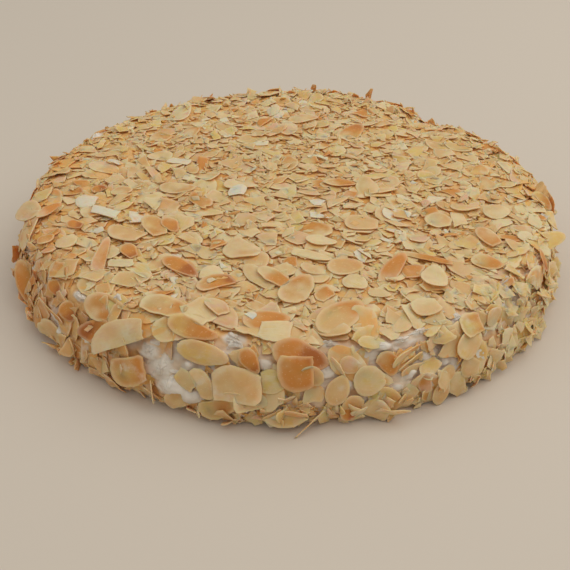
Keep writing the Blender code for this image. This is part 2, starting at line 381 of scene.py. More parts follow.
def mottle_group():
    """Cloudy patches from 0 to 1 and the fine unevenness of food's surface, by Object coordinates and a
    shift."""
    group = bpy.data.node_groups.new("mottle", "ShaderNodeTree")
    group.interface.new_socket("Patch Scale", in_out="INPUT", socket_type="NodeSocketFloat")
    group.interface.new_socket("Grain Scale", in_out="INPUT", socket_type="NodeSocketFloat")
    group.interface.new_socket("Shift", in_out="INPUT", socket_type="NodeSocketFloat")
    group.interface.new_socket("Patch", in_out="OUTPUT", socket_type="NodeSocketFloat")
    group.interface.new_socket("Grain", in_out="OUTPUT", socket_type="NodeSocketFloat")
    given = group.nodes.new("NodeGroupInput")
    result = group.nodes.new("NodeGroupOutput")
    place = node(group, "ShaderNodeTexCoord").outputs["Object"]
    patch = node(
        group, "ShaderNodeTexNoise", {"noise_dimensions": "4D"}, Vector=place, W=given.outputs["Shift"],
        Scale=given.outputs["Patch Scale"], Detail=2.0, Roughness=0.5,
    )
    grain = node(
        group, "ShaderNodeTexNoise", {"noise_dimensions": "4D"}, Vector=place, W=given.outputs["Shift"],
        Scale=given.outputs["Grain Scale"], Detail=3.0, Roughness=0.6,
    )
    spread = node(
        group, "ShaderNodeMapRange", {"interpolation_type": "SMOOTHSTEP"}, Value=patch.outputs["Fac"],
        From_Min=0.32, From_Max=0.68,
    )
    group.links.new(spread.outputs["Result"], result.inputs["Patch"])
    group.links.new(grain.outputs["Fac"], result.inputs["Grain"])
    return group


mottle = mottle_group()


def cream_material():
    """Whipped cream: off-white, with painted shade in cloudy patches, light let into it, sharp folds, a fine
    foam on its surface and a wet gloss. Where its attribute says crumbs it is almond meal instead, whose warm
    orange is partly painted shade in the gaps of the pile."""
    material, tree, shader = new_material("whipped_cream")
    cloud = node(
        tree, "ShaderNodeGroup", {"node_tree": mottle}, Patch_Scale=120.0, Grain_Scale=900.0, Shift=0.0,
    )
    # Painted shade: the cream turns to its shaded copy in cloudy patches.
    cream = node(tree, "ShaderNodeMix", {"data_type": "RGBA"}, _0=cloud.outputs["Patch"])
    cream.inputs[6].default_value = (*CREAM_PAINTED_SHADE, 1)
    cream.inputs[7].default_value = (*CREAM, 1)
    crumbs = node(tree, "ShaderNodeAttribute", {"attribute_name": "crumbs"})
    crumb = node(tree, "ShaderNodeMix", {"data_type": "RGBA"}, _0=cloud.outputs["Grain"])
    crumb.inputs[6].default_value = (*CRUMB_DARK, 1)
    crumb.inputs[7].default_value = (*CRUMB_PALE, 1)
    colour = node(
        tree, "ShaderNodeMix", {"data_type": "RGBA"}, _0=crumbs.outputs["Fac"], _6=cream.outputs[2],
        _7=crumb.outputs[2],
    )
    gloss = node(tree, "ShaderNodeMapRange", Value=cloud.outputs["Patch"], To_Min=0.36, To_Max=0.18)
    place = node(tree, "ShaderNodeTexCoord").outputs["Object"]
    crinkle = node(
        tree, "ShaderNodeTexNoise", {"noise_type": "RIDGED_MULTIFRACTAL"}, Vector=place, Scale=230.0,
        Detail=3.0, Roughness=0.6, Distortion=0.6,
    )
    folds = node(tree, "ShaderNodeBump", Height=crinkle.outputs["Fac"], Strength=0.9, Distance=0.0008)
    bump = node(
        tree, "ShaderNodeBump", Height=cloud.outputs["Grain"], Strength=0.3, Distance=0.0003,
        Normal=folds.outputs["Normal"],
    )
    tree.links.new(colour.outputs[2], shader.inputs["Base Color"])
    tree.links.new(gloss.outputs["Result"], shader.inputs["Roughness"])
    tree.links.new(bump.outputs["Normal"], shader.inputs["Normal"])
    shader.inputs["Subsurface Weight"].default_value = 0.15
    shader.inputs["Subsurface Radius"].default_value = (1.0, 0.7, 0.5)
    shader.inputs["Subsurface Scale"].default_value = 0.001
    return material


# The pile: sliced almonds dropped on the cream one after another. The coat is read as two beds, the top as
# a square grid and the side as a band, each with the depth of slices that lie over every one of its cells.
CELL = 0.75 * MM
TOP_BED_RADIUS = 128 * MM
SIDE_BED_START = SHOULDER_RUN - 14 * MM
STEEPEST = math.tan(math.radians(30))
STIFFNESS = 0.08
TILT_STIFFNESS = 1e-4
MOST_BENT = 0.10
FEWEST_CELLS = 4
LEAST_FACING = 0.4
NEAR = 3 * MM


class Bed:
    """A stretch of coat as a grid of points, with the outward direction and the pile's depth at each."""

    def __init__(self, points, directions, usable, bare, wraps):
        self.points = points
        self.directions = directions
        self.usable = usable
        self.bare = bare
        self.wraps = wraps
        self.pile = np.zeros(points.shape[:2])
        self.claimed = np.zeros(points.shape[:2], bool)

    def window(self, row, column, reach):
        """Index arrays of the cells within reach of one cell, round the seam where the bed is a band."""
        count = int(reach / CELL) + 1
        rows = np.arange(max(row - count, 0), min(row + count + 1, self.points.shape[0]))
        columns = np.arange(column - count, column + count + 1)
        if self.wraps:
            columns = columns % self.points.shape[1]
        else:
            columns = columns[(columns >= 0) & (columns < self.points.shape[1])]
        return np.ix_(rows, columns)

    def depth_near(self, row, column):
        """The pile's mean depth over a few millimetres round a cell."""
        return self.pile[self.window(row, column, NEAR)].mean()

    def bare_near(self, row, column):
        """How bare the cream is on average under a slice that lies round a cell."""
        return self.bare[self.window(row, column, NEAR)].mean()

    def grid_cells(self, places):
        """Rows and columns of the square grid's cells that places lie over, seen from above."""
        centre = self.points.shape[0] / 2
        rows = np.clip((centre + places[..., 1] / CELL).astype(int), 0, self.points.shape[0] - 1)
        columns = np.clip((centre + places[..., 0] / CELL).astype(int), 0, self.points.shape[1] - 1)
        return rows, columns

    def band_columns(self, angles):
        """The band's columns at angles round the cake."""
        count = self.points.shape[1]
        return (angles % (2 * math.pi) / (2 * math.pi) * count).astype(int) % count

    def under_pile(self, places):
        """How far places lie under the finished pile, along the outward direction of their cell."""
        if self.wraps:
            columns = self.band_columns(np.arctan2(places[..., 1], places[..., 0]))
            heights = self.points[:, :, 2].mean(axis=1)
            rows = np.interp(-places[..., 2], -heights, np.arange(len(heights))).astype(int)
        else:
            rows, columns = self.grid_cells(places)
        direction = self.directions[rows, columns]
        surface = self.points[rows, columns] + direction * self.pile[rows, columns, None]
        return ((surface - places) * direction).sum(axis=-1)

    def lowest_near(self, cells):
        """The least depth of pile within a few cells of each cell. Each pass takes the least of four
        sides."""
        least = np.where(self.usable, self.pile, 1.0)
        for _ in range(cells):
            if self.wraps:
                least = np.minimum(least, np.minimum(np.roll(least, 1, axis=1), np.roll(least, -1, axis=1)))
            else:
                least[:, 1:-1] = np.minimum(least[:, 1:-1], np.minimum(least[:, 2:], least[:, :-2]))
            least[1:-1] = np.minimum(least[1:-1], np.minimum(least[2:], least[:-2]))
        return least

    def surface(self):
        """A tree of the pile's surface for rays to hit, at every second cell."""
        tops = (self.points + self.directions * self.pile[..., None])[::2, ::2]
        rows, columns = tops.shape[:2]
        first = np.arange(rows * columns).reshape(rows, columns)
        after = np.roll(first, -1, axis=1)
        quads = np.stack([first[:-1], first[1:], after[1:], after[:-1]], axis=-1)
        known = self.usable[::2, ::2]
        keep = known[:-1] & known[1:]
        if not self.wraps:
            keep[:, -1] = False
        return BVHTree.FromPolygons(tops.reshape(-1, 3).tolist(), quads[keep].tolist())


def top_bed():
    """The bed over the crown: the run at a place is found from its distance to the middle."""
    side = np.arange(-TOP_BED_RADIUS, TOP_BED_RADIUS, CELL)
    y, x = np.meshgrid(side, side, indexing="ij")
    distance = np.hypot(x, y)
    rising = np.searchsorted(RADII, SHOULDER_RADIUS - 1e-6)
    run = np.interp(distance, RADII[:rising], RUN[:rising])
    points = spread_coat(np.arctan2(y, x), run)
    across = np.gradient(points, axis=1)
    along = np.gradient(points, axis=0)
    up = np.cross(across, along)
    up = up / np.maximum(np.linalg.norm(up, axis=-1, keepdims=True), 1e-12)
    bare, _ = bareness(np.arctan2(y, x), run, points)
    return Bed(points, up, distance < SHOULDER_RADIUS - 1 * MM, bare, False)


def side_bed():
    """The bed round the side, from just inside the shoulder down to the foot."""
    angles = np.arange(0, 2 * math.pi, CELL / BELLY_RADIUS)
    angles = angles * (2 * math.pi / (angles[-1] + angles[1]))
    runs = np.arange(SIDE_BED_START, RUN[-1], CELL)
    points, directions = coat_grid(angles, runs)
    bare, _ = bareness(angles[None, :], runs[:, None], points)
    return Bed(points, directions, np.ones(points.shape[:2], bool), bare, True)


top = top_bed()
side = side_bed()

Slice = namedtuple("Slice", "length width egg cuts thick tone toast hue grain")
Placed = namedtuple("Placed", "slice centre along aside up bend twist cup")


def outline_radius(turn, length, width, egg, cuts):
    """From a slice's middle to its outline: an ellipse that narrows towards one tip, cut off by straight
    breaks. A break at a distance d in a direction t is d / cos(turn - t) away."""
    half_width = width / 2 * (1 - egg * np.cos(turn))
    radius = 1 / np.sqrt((np.cos(turn) / (length / 2)) ** 2 + (np.sin(turn) / half_width) ** 2)
    for direction, distance in cuts:
        facing = np.cos(turn - direction)
        cut = distance / np.where(facing > 0.01, facing, 1)
        radius = np.where(facing * radius > distance, cut, radius)
    return radius


def heading_at(outwards, turn):
    """A direction along the coat, at a turn from the one that goes round the cake."""
    round_cake = np.cross([0.0, 0.0, 1.0], outwards)
    return round_cake * math.cos(turn) + np.cross(outwards, round_cake) * math.sin(turn)


def lay(bed, row, column, piece, heading, sink, lean, settles=True, claims=False):
    """Lays a slice on a bed with its middle over one cell and its length along a heading. The form
    a + bx + cy + dx^2 + exy + fy^2 is fitted to the pile under it by least squares, with its bend held
    small, raised until only a share of the pile, its sink, stands through it, and leant by two slopes. The
    pile then has the slice's upper face under its outline, if the slice settles. One that claims its place
    is kept clear of ruffles."""
    near = bed.window(row, column, max(piece.length, piece.width) / 2)
    origin = bed.points[row, column]
    normal = bed.directions[row, column]
    along = heading - normal * (heading @ normal)
    along = along / np.linalg.norm(along)
    aside = np.cross(normal, along)
    base = bed.points[near] - origin
    depth = bed.pile[near]
    facing = bed.directions[near] @ normal
    offset = base + bed.directions[near] * depth[..., None]
    half = piece.length / 2
    x, y, z = offset @ along / half, offset @ aside / half, offset @ normal
    reach = outline_radius(np.arctan2(y, x), piece.length, piece.width, piece.egg, piece.cuts) / half
    under = (np.hypot(x, y) < reach) & bed.usable[near]
    if under.sum() < FEWEST_CELLS:
        return None
    px, py, pz = x[under], y[under], z[under]
    terms = np.stack([np.ones_like(px), px, py, px * px, px * py, py * py])
    stiff = len(px) * np.array([0, TILT_STIFFNESS, TILT_STIFFNESS, STIFFNESS, STIFFNESS, STIFFNESS])
    form = np.linalg.solve(terms @ terms.T + np.diag(stiff), terms @ pz)
    form[1:3] = np.clip(form[1:3], -STEEPEST * half, STEEPEST * half) + np.array(lean) * half
    form[3:] = np.clip(form[3:], -MOST_BENT * half, MOST_BENT * half)
    form[0] = 0
    stand = np.sort(pz - form @ terms)
    form[0] = stand[int((len(stand) - 1) * (1 - sink))]
    slope_x, slope_y = form[1] / half, form[2] / half
    if settles:
        whole = np.stack([np.ones_like(x), x, y, x * x, x * y, y * y])
        face = np.tensordot(form, whole, 1) + piece.thick * math.sqrt(1 + slope_x**2 + slope_y**2)
        new_depth = (face - base @ normal) / np.maximum(facing, LEAST_FACING)
        bed.pile[near] = np.where(under, np.maximum(depth, new_depth), depth)
    if claims:
        bed.claimed[near] |= under
    up = normal - slope_x * along - slope_y * aside
    up = up / np.linalg.norm(up)
    along = along - up * (along @ up)
    along = along / np.linalg.norm(along)
    centre = origin + normal * form[0] + up * piece.thick / 2
    narrow = piece.width / piece.length
    aside = np.cross(up, along)
    return Placed(piece, centre, along, aside, up, form[3], form[4] * narrow, form[5] * narrow**2)


# The slices' shapes: almonds cut lengthwise 0.3 to 0.6 mm thick, up to 24 mm long, narrowing to one tip. Many
# have snapped across, once or more, and the smallest are chips, slivers and crumbs.
SLICE_THICKNESS = (0.30 * MM, 0.58 * MM)
NO_CUT = (0.0, 1.0)
MOST_CUTS = 5
Kind = namedtuple("Kind", "length slenderness breaks")
WHOLE = Kind((11 * MM, 19 * MM), (0.50, 0.70), 0)
LARGE_WHOLE = Kind((18 * MM, 24 * MM), (0.50, 0.66), 0)
HALF = Kind((12 * MM, 20 * MM), (0.48, 0.66), 2)
CORNER = Kind((12 * MM, 21 * MM), (0.48, 0.72), 4)
CHIP = Kind((5 * MM, 13 * MM), (0.4, 0.9), 5)
SLIVER = Kind((6 * MM, 15 * MM), (0.12, 0.26), 3)
CRUMB = Kind((2 * MM, 4.5 * MM), (0.4, 0.9), 3)
EGG = (0.05, 0.3)
BREAK_WANDER = 0.55
BREAK_DISTANCE = (0.08, 0.62)

# How the slices are baked, as shares of them: pale to tan, some yellowish or pinkish, and some toasted
# orange in patches. Tone runs from pale to tan, hue from yellow (-1) to pink (1).
TOASTED_SHARE = 0.11
TOASTED = (0.3, 0.9)
LIGHT_TOAST = 0.25
CHALKY_SHARE = 0.04


def spread(generator, limits):
    """A draw between two limits."""
    return limits[0] + (limits[1] - limits[0]) * generator.random()


def bake(generator):
    """Draws a slice's tone, toast and hue. Chalky chips have a tone below zero."""
    tone = generator.random() ** 0.8
    toast = LIGHT_TOAST * generator.random() ** 2
    if generator.random() < TOASTED_SHARE:
        toast = spread(generator, TOASTED)
    if generator.random() < CHALKY_SHARE:
        return -0.7 * generator.random() - 0.3, 0.0, 0.0
    return tone, toast, 0.28 * generator.normal() - 0.02


def draw_slice(generator, kind):
    """Draws one slice of a kind. A break crosses it on one side of its middle, mostly across its length."""
    length = spread(generator, kind.length)
    width = length * spread(generator, kind.slenderness)
    cuts = []
    for number in range(MOST_CUTS):
        if number < kind.breaks:
            direction = math.pi * number + math.pi / 2 * (number > 1) + generator.normal() * BREAK_WANDER
            widest = abs(math.cos(direction)) * length / 2 + abs(math.sin(direction)) * width / 2
            cuts.append((direction, widest * spread(generator, BREAK_DISTANCE)))
        else:
            cuts.append(NO_CUT)
    tone, toast, hue = bake(generator)
    thick = spread(generator, SLICE_THICKNESS)
    egg = spread(generator, EGG)
    hue = max(min(hue, 1), -1)
    return Slice(length, width, egg, tuple(cuts), thick, tone, toast, hue, generator.random())


# A slice's mesh, from its middle outwards: where its rings are as shares of its outline, how high they lie as
# shares of its thickness, and how they count towards its rim. Its outline is jagged where it has snapped,
# uneven by a few lobes all round, notched and rippled.
RING_SHARES = np.array([0.55, 0.96, 1.0, 0.985])
RING_HEIGHTS = np.array([0.5, 0.5, 0.25, -0.5])
RIM_VALUES = np.array([0.55, 0.96, 1.0, 1.5])
JAGGED = 0.28
WAVY = 0.035
LOBES = (2, 3, 4, 5, 7)
LOBE_SIZE = 0.06
RIPPLE = 0.03
RIPPLE_TURNS = 3.2
NOTCHES = 2
NOTCH_DEPTH = 0.36
NOTCH_WIDTH = (0.07, 0.25)
NOTCH_UNBROKEN = 0.3
SNAPPED = 0.98
HIDDEN_DEPTH = 1.0 * MM
STANDING_CLEAR = -1.0 * MM
LEAST_HEIGHT = 0.2 * MM
OUTLINE_STEPS = 240
CORNER_PULL = 0.55


def column_of(things, key):
    """One value of each thing, as a column."""
    return np.array([getattr(one, key) for one in things], float)[:, None]


def slice_outlines(pieces, corners, ragged, generator):
    """Angles and radii of the slices' outlines, a row for each. The points are shared out by length and by
    how sharply the outline turns. It is then jagged along its breaks, uneven by a few cosines, and notched
    by bell curves, all of it scaled by how ragged the slices are."""
    cuts = np.array([piece.cuts for piece in pieces])[:, :, :, None]
    breaks = [(cuts[:, k, 0], cuts[:, k, 1]) for k in range(cuts.shape[1])]
    length, width, egg = (column_of(pieces, key) for key in ("length", "width", "egg"))
    count = len(pieces)
    turn = np.linspace(0, 2 * math.pi, OUTLINE_STEPS + 1)[None]
    path = outline_radius(turn, length, width, egg, breaks) * np.exp(1j * turn)
    edge = np.diff(path, axis=1)
    corner = np.abs(np.angle(edge / np.roll(edge, 1, axis=1))) / (2 * math.pi)
    corner = corner / corner.sum(axis=1, keepdims=True)
    weight = np.abs(edge) / np.abs(edge).sum(axis=1, keepdims=True)
    weight = weight * (1 - CORNER_PULL) + CORNER_PULL * 0.5 * (corner + np.roll(corner, -1, axis=1))
    gone = np.concatenate([np.zeros((count, 1)), np.cumsum(weight, axis=1)], axis=1)
    wanted = (np.arange(corners) + 0.5) / corners
    turn = np.stack([np.interp(wanted, gone[k] / gone[k, -1], turn[0]) for k in range(count)])
    whole = outline_radius(turn, length, width, egg, ())
    radius = outline_radius(turn, length, width, egg, breaks)
    uneven = generator.random((count, corners)) - 0.5
    radius = radius * (1 + uneven * np.where(radius < SNAPPED * whole, ragged * JAGGED, WAVY))
    for lobe in LOBES:
        size = generator.normal(size=(count, 1)) * LOBE_SIZE * ragged**0.5 / lobe
        phase = 2 * math.pi * generator.random((count, 1))
        radius = radius * (1 + size * np.cos(lobe * turn + phase))
    broken = (radius.min(axis=1) < SNAPPED * whole.min(axis=1))[:, None]
    for _ in range(NOTCHES):
        notch = turn_from(turn, generator.random((count, 1)) * 2 * math.pi)
        notch_width = NOTCH_WIDTH[0] + (NOTCH_WIDTH[1] - NOTCH_WIDTH[0]) * generator.random((count, 1))
        depth = ragged * NOTCH_DEPTH * generator.random((count, 1)) ** 2 * np.where(broken, 1, NOTCH_UNBROKEN)
        radius = radius * (1 - depth * np.exp(-((notch / notch_width) ** 2)))
    return turn, radius


def slice_faces(corners, rings, count):
    """Triangles of many slices: a fan round each centre, bands between its rings and a fan to the centre
    below."""
    here = np.arange(corners)
    after = (here + 1) % corners
    last = 1 + rings * corners
    faces = [np.stack([0 * here, 1 + here, 1 + after], axis=-1)]
    for ring in range(rings - 1):
        inner, outer = 1 + ring * corners, 1 + (ring + 1) * corners
        faces.append(np.stack([inner + here, outer + here, outer + after], axis=-1))
        faces.append(np.stack([inner + here, outer + after, inner + after], axis=-1))
    faces.append(np.stack([0 * here + last, last - corners + after, last - corners + here], axis=-1))
    return (np.concatenate(faces)[None] + (last + 1) * np.arange(count)[:, None, None]).reshape(-1, 3)


def add_values(mesh, name, kind, field, values):
    """Gives each point of a mesh a value or a colour under a name."""
    mesh.attributes.new(name, kind, "POINT").data.foreach_set(field, values.astype(np.float32).ravel())


def slices_object(name, bed, placed, corners, seed, first_ring=0, ragged=1.0):
    """One mesh of many slices, each of them a centre, rings and a centre below; small ones leave out the
    inmost ring. A slice of half length a and half width b is bent to
    cup (y/b)^2 + bend (x/a)^2 + twist xy/(ab)
    and rippled by one sine across it. Its attributes say how it was baked, where its rim is and how far it
    lies under its bed's pile, in millimetres. A slice wholly under the pile is left out. Without a bed, all
    count as just clear of the pile."""
    generator = np.random.default_rng(seed)
    shares, heights, rims = RING_SHARES[first_ring:], RING_HEIGHTS[first_ring:], RIM_VALUES[first_ring:]
    pieces = [one.slice for one in placed]
    count = len(placed)
    length, width, thick = (column_of(pieces, key) for key in ("length", "width", "thick"))
    turn, radius = slice_outlines(pieces, corners, ragged, generator)
    rings_x = ((radius * np.cos(turn))[:, None, :] * shares[None, :, None]).reshape(count, -1)
    rings_y = ((radius * np.sin(turn))[:, None, :] * shares[None, :, None]).reshape(count, -1)
    middle = np.zeros((count, 1))
    local_x = np.concatenate([middle, rings_x, middle], axis=1)
    local_y = np.concatenate([middle, rings_y, middle], axis=1)
    layer = np.concatenate([[0.5], np.repeat(heights, corners), [-0.5]])
    u = local_x / (length / 2)
    v = local_y / (width / 2)
    cup, bend, twist = (column_of(placed, key) for key in ("cup", "bend", "twist"))
    bent = cup * v**2 + bend * u**2 + twist * u * v
    crest = generator.random((count, 1)) * 2 * math.pi
    phase = generator.random((count, 1)) * 2 * math.pi
    bent = bent + RIPPLE * width * np.sin(RIPPLE_TURNS * (u * np.cos(crest) + v * np.sin(crest)) + phase)
    local = (local_x, local_y, layer[None] * thick + bent)
    points = np.array([one.centre for one in placed])[:, None, :]
    for key, distance in zip(("along", "aside", "up"), local):
        points = points + np.array([getattr(one, key) for one in placed])[:, None, :] * distance[..., None]
    points[..., 2] += np.maximum(LEAST_HEIGHT - points[..., 2].min(axis=1, keepdims=True), 0)
    deep = bed.under_pile(points) if bed else np.full(points.shape[:2], STANDING_CLEAR)
    shown = deep.min(axis=1) < HIDDEN_DEPTH
    points, deep, u, v = points[shown], deep[shown], u[shown], v[shown]
    baked = np.stack([column_of(pieces, key) for key in ("tone", "toast", "hue", "grain")], axis=-1)[shown]
    count, size = points.shape[:2]
    faces = slice_faces(corners, len(shares), count)

    mesh = bpy.data.meshes.new(name)
    mesh.vertices.add(count * size)
    mesh.vertices.foreach_set("co", points.astype(np.float32).ravel())
    mesh.loops.add(faces.size)
    mesh.loops.foreach_set("vertex_index", faces.astype(np.int32).ravel())
    mesh.polygons.add(len(faces))
    mesh.polygons.foreach_set("loop_start", np.arange(0, faces.size, 3, dtype=np.int32))
    mesh.update(calc_edges=True)
    mesh.shade_smooth()
    add_values(mesh, "baked", "FLOAT_COLOR", "color", np.repeat(baked, size, axis=1))
    rim = np.concatenate([[0.0], np.repeat(rims, corners), [rims[-1]]])
    add_values(mesh, "rim", "FLOAT", "value", np.tile(rim, count))
    add_values(mesh, "deep", "FLOAT", "value", deep / MM)
    lengthwise = (np.stack([u, v], axis=-1).reshape(-1, 2)[faces.ravel()] * 0.5 + 0.5).astype(np.float32)
    mesh.uv_layers.new(name="lengthwise").data.foreach_set("uv", lengthwise.ravel())
    thing = bpy.data.objects.new(name, mesh)
    bpy.context.scene.collection.objects.link(thing)
    thing.data.materials.append(almond)
    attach(thing, "root")
    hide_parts("torte")


# The colours of almond flesh, from the palest to the most toasted, of its rim, which is partly painted
# highlight and also colours dust, of the painted shade deep in the pile and of cream smeared over it.
PALE = (0.88, 0.655, 0.365)
TAN = (0.76, 0.45, 0.185)
CHALK = (0.86, 0.73, 0.54)
YELLOW = (0.82, 0.54, 0.17)
PINK = (0.80, 0.48, 0.29)
ORANGE = (0.70, 0.29, 0.065)
BROWN = (0.42, 0.12, 0.03)
PALE_RIM_DUST_AND_HIGHLIGHT = (0.92, 0.74, 0.46)
PILE_PAINTED_SHADE = (0.90, 0.44, 0.115)
SMEAR = (0.90, 0.80, 0.66)


def mix(tree, share, first, second):
    """A colour mix by share, from the first colour to the second, each a socket or a plain colour."""
    made = node(tree, "ShaderNodeMix", {"data_type": "RGBA"}, _0=share)
    for socket, colour in ((made.inputs[6], first), (made.inputs[7], second)):
        if isinstance(colour, bpy.types.NodeSocket):
            tree.links.new(colour, socket)
        else:
            socket.default_value = (*colour, 1)
    return made.outputs[2]


def ranged(tree, value, low, high, to_low=0.0, to_high=1.0):
    """A value brought from one range to another by a smooth step."""
    settings = {"interpolation_type": "SMOOTHSTEP"}
    made = node(
        tree, "ShaderNodeMapRange", settings, Value=value, From_Min=low, From_Max=high,
        To_Min=to_low, To_Max=to_high,
    )
    return made.outputs["Result"]


def times(tree, first, second):
    """Two values multiplied."""
    return node(tree, "ShaderNodeMath", {"operation": "MULTIPLY"}, _0=first, _1=second).outputs[0]


def plus(tree, first, second):
    """Two values added."""
    return node(tree, "ShaderNodeMath", {"operation": "ADD"}, _0=first, _1=second).outputs[0]


def almond_material():
    """Toasted almond flesh: pale to tan, yellowish or pinkish, toasted orange to brown in patches that stop
    short of a paler rim that is partly painted highlight, with painted shade on its cut face and deep in the
    pile, fine fibres along its length and a dull oily gloss."""
    material, tree, shader = new_material("toasted_almond")
    baked = node(tree, "ShaderNodeAttribute", {"attribute_name": "baked"})
    parts = node(tree, "ShaderNodeSeparateColor", Color=baked.outputs["Color"])
    tone, toast, hue = parts.outputs[0], parts.outputs[1], parts.outputs[2]
    shift = times(tree, baked.outputs["Alpha"], 60.0)
    rim = node(tree, "ShaderNodeAttribute", {"attribute_name": "rim"}).outputs["Fac"]
    deep = node(tree, "ShaderNodeAttribute", {"attribute_name": "deep"}).outputs["Fac"]
    place = node(tree, "ShaderNodeTexCoord").outputs["Object"]
    cloud = node(
        tree, "ShaderNodeGroup", {"node_tree": mottle}, Patch_Scale=100.0, Grain_Scale=450.0, Shift=shift,
    )
    patch, grain = cloud.outputs["Patch"], cloud.outputs["Grain"]
    fibre_place = node(tree, "ShaderNodeUVMap", {"uv_map": "lengthwise"}).outputs["UV"]
    fibre_map = node(tree, "ShaderNodeMapping", Vector=fibre_place, Scale=(1.6, 9.0, 1.0))
    fibre = node(
        tree, "ShaderNodeTexNoise", {"noise_dimensions": "4D"}, Vector=fibre_map.outputs["Vector"],
        W=shift, Scale=2.2, Detail=3.0, Roughness=0.6,
    ).outputs["Fac"]

    # Untoasted flesh: pale to tan, chalky below zero, and leaning to yellow or pink.
    flesh = mix(tree, ranged(tree, plus(tree, tone, times(tree, patch, 0.8)), 0.0, 1.8), PALE, TAN)
    flesh = mix(tree, ranged(tree, tone, -0.2, -0.9), flesh, CHALK)
    blush = node(
        tree, "ShaderNodeTexNoise", {"noise_dimensions": "4D"}, Vector=place, W=plus(tree, shift, 3.0),
        Scale=150.0, Detail=2.0,
    ).outputs["Fac"]
    leaning = plus(tree, hue, ranged(tree, fibre, 0.35, 0.65, -0.2, 0.2))
    leaning = plus(tree, leaning, ranged(tree, blush, 0.35, 0.65, -0.35, 0.35))
    flesh = mix(tree, ranged(tree, leaning, -0.15, -1.0), flesh, YELLOW)
    flesh = mix(tree, ranged(tree, leaning, 0.15, 1.0), flesh, PINK)

    # Toast: in patches, more inside the rim and towards one tip, orange and then brown.
    inner = ranged(tree, rim, 1.02, 0.72)
    heat = plus(tree, times(tree, toast, 1.5), times(tree, patch, 0.55))
    heat = plus(tree, heat, times(tree, inner, 0.25))
    lengthwise = node(tree, "ShaderNodeSeparateXYZ", Vector=fibre_place).outputs[0]
    to_tip = plus(tree, ranged(tree, lengthwise, 0.1, 0.9), -0.6)
    heat = plus(tree, heat, times(tree, to_tip, times(tree, toast, 1.1)))
    flesh = mix(tree, ranged(tree, heat, 0.75, 1.6), flesh, ORANGE)
    flesh = mix(tree, times(tree, ranged(tree, heat, 1.75, 2.5), 0.8), flesh, BROWN)

    # The pale rim, partly painted highlight; the darker cut face below, toasted and with painted shade; and
    # painted shade, warm orange, on what lies deep in the pile.
    # The pale rim: partly the almond's own untoasted edge, partly painted highlight where the edges catch
    # light.
    edge = times(tree, ranged(tree, rim, 0.7, 0.98), ranged(tree, rim, 1.4, 1.1))
    flesh = mix(tree, times(tree, edge, 0.38), flesh, PALE_RIM_DUST_AND_HIGHLIGHT)
    # The cut face and underside turn orange: partly toasted skin, partly painted shade, stronger on slices
    # that lie in the pile than on those that stand off it.
    underside_toast_and_shade = times(tree, ranged(tree, rim, 1.05, 1.35), ranged(tree, deep, -0.8, 0.0, 0.15, 0.8))
    flesh = mix(tree, underside_toast_and_shade, flesh, ORANGE)
    # Painted shade: warm orange on each slice, more of it the deeper it lies under the pile.
    flesh = mix(tree, times(tree, ranged(tree, deep, 0.1, 0.9), 0.7), flesh, PILE_PAINTED_SHADE)

    # Almond dust all over, smears of cream on the side alone, and fine freckles.
    dust = node(tree, "ShaderNodeTexNoise", Vector=place, Scale=1100.0, Detail=2.0, Roughness=0.6)
    flesh = mix(tree, times(tree, ranged(tree, dust.outputs["Fac"], 0.6, 0.72), 0.3), flesh, PALE_RIM_DUST_AND_HIGHLIGHT)
    smear = node(tree, "ShaderNodeTexNoise", Vector=place, Scale=95.0, Detail=6.0, Roughness=0.6)
    on_side = ranged(tree, node(tree, "ShaderNodeSeparateXYZ", Vector=place).outputs[2], 0.037, 0.031)
    smeared = times(tree, ranged(tree, smear.outputs["Fac"], 0.54, 0.74), on_side)
    flesh = mix(tree, times(tree, smeared, 0.5), flesh, SMEAR)
    freckle = ranged(tree, grain, 0.3, 0.7, 0.98, 1.01)
    scaled = node(tree, "ShaderNodeVectorMath", {"operation": "SCALE"}, Vector=flesh, Scale=freckle)
    flesh = scaled.outputs[0]

    height = plus(tree, times(tree, grain, 0.2), fibre)
    bump = node(tree, "ShaderNodeBump", Height=height, Strength=0.2, Distance=0.0002)
    gloss = ranged(tree, patch, 0.0, 1.0, 0.62, 0.46)
    tree.links.new(flesh, shader.inputs["Base Color"])
    tree.links.new(gloss, shader.inputs["Roughness"])
    tree.links.new(bump.outputs["Normal"], shader.inputs["Normal"])
    shader.inputs["Specular IOR Level"].default_value = 0.2
    shader.inputs["Subsurface Weight"].default_value = 0.5
    shader.inputs["Subsurface Radius"].default_value = (1.0, 0.5, 0.22)
    shader.inputs["Subsurface Scale"].default_value = 0.0015
    return material


almond = almond_material()


# The side's slices: pressed by hand against the wet cream, so that they lie close to it at all angles, with
# cream showing between them and more of them ruffled at the right.
SIDE_MIX = ((LARGE_WHOLE, 24), (WHOLE, 50), (HALF, 150), (CORNER, 330), (CHIP, 520), (SLIVER, 120))
SIDE_SEED = 21
SIDE_TRIES = 4
SIDE_SINK = 0.08
PRESSED_SHARE = 0.3
PRESSED_SINK = 0.5
SHUNS_BARE = 20 * MM
MOST_BARE = 0.45
SIDE_SLOPE = 0.08
SLOPE_WAVE = 0.03
SLOPE_AT_RIGHT = 0.14
RUFFLED_ANGLE = -0.35
RUFFLED_HALF_ANGLE = 0.6
# Where the side gets painted light, at the right, and painted shade, at the left, and how far round each
# reaches.
LIT_SIDE_ANGLE = math.radians(-25)
SHADED_SIDE_ANGLE = math.radians(207)
SIDE_LIGHT_HALF_ANGLE = math.radians(35)


def bell_round(angle, middle):
    """A bell curve round the cake, 1 at its middle angle."""
    return np.exp(-((turn_from(angle, middle) / SIDE_LIGHT_HALF_ANGLE) ** 2))


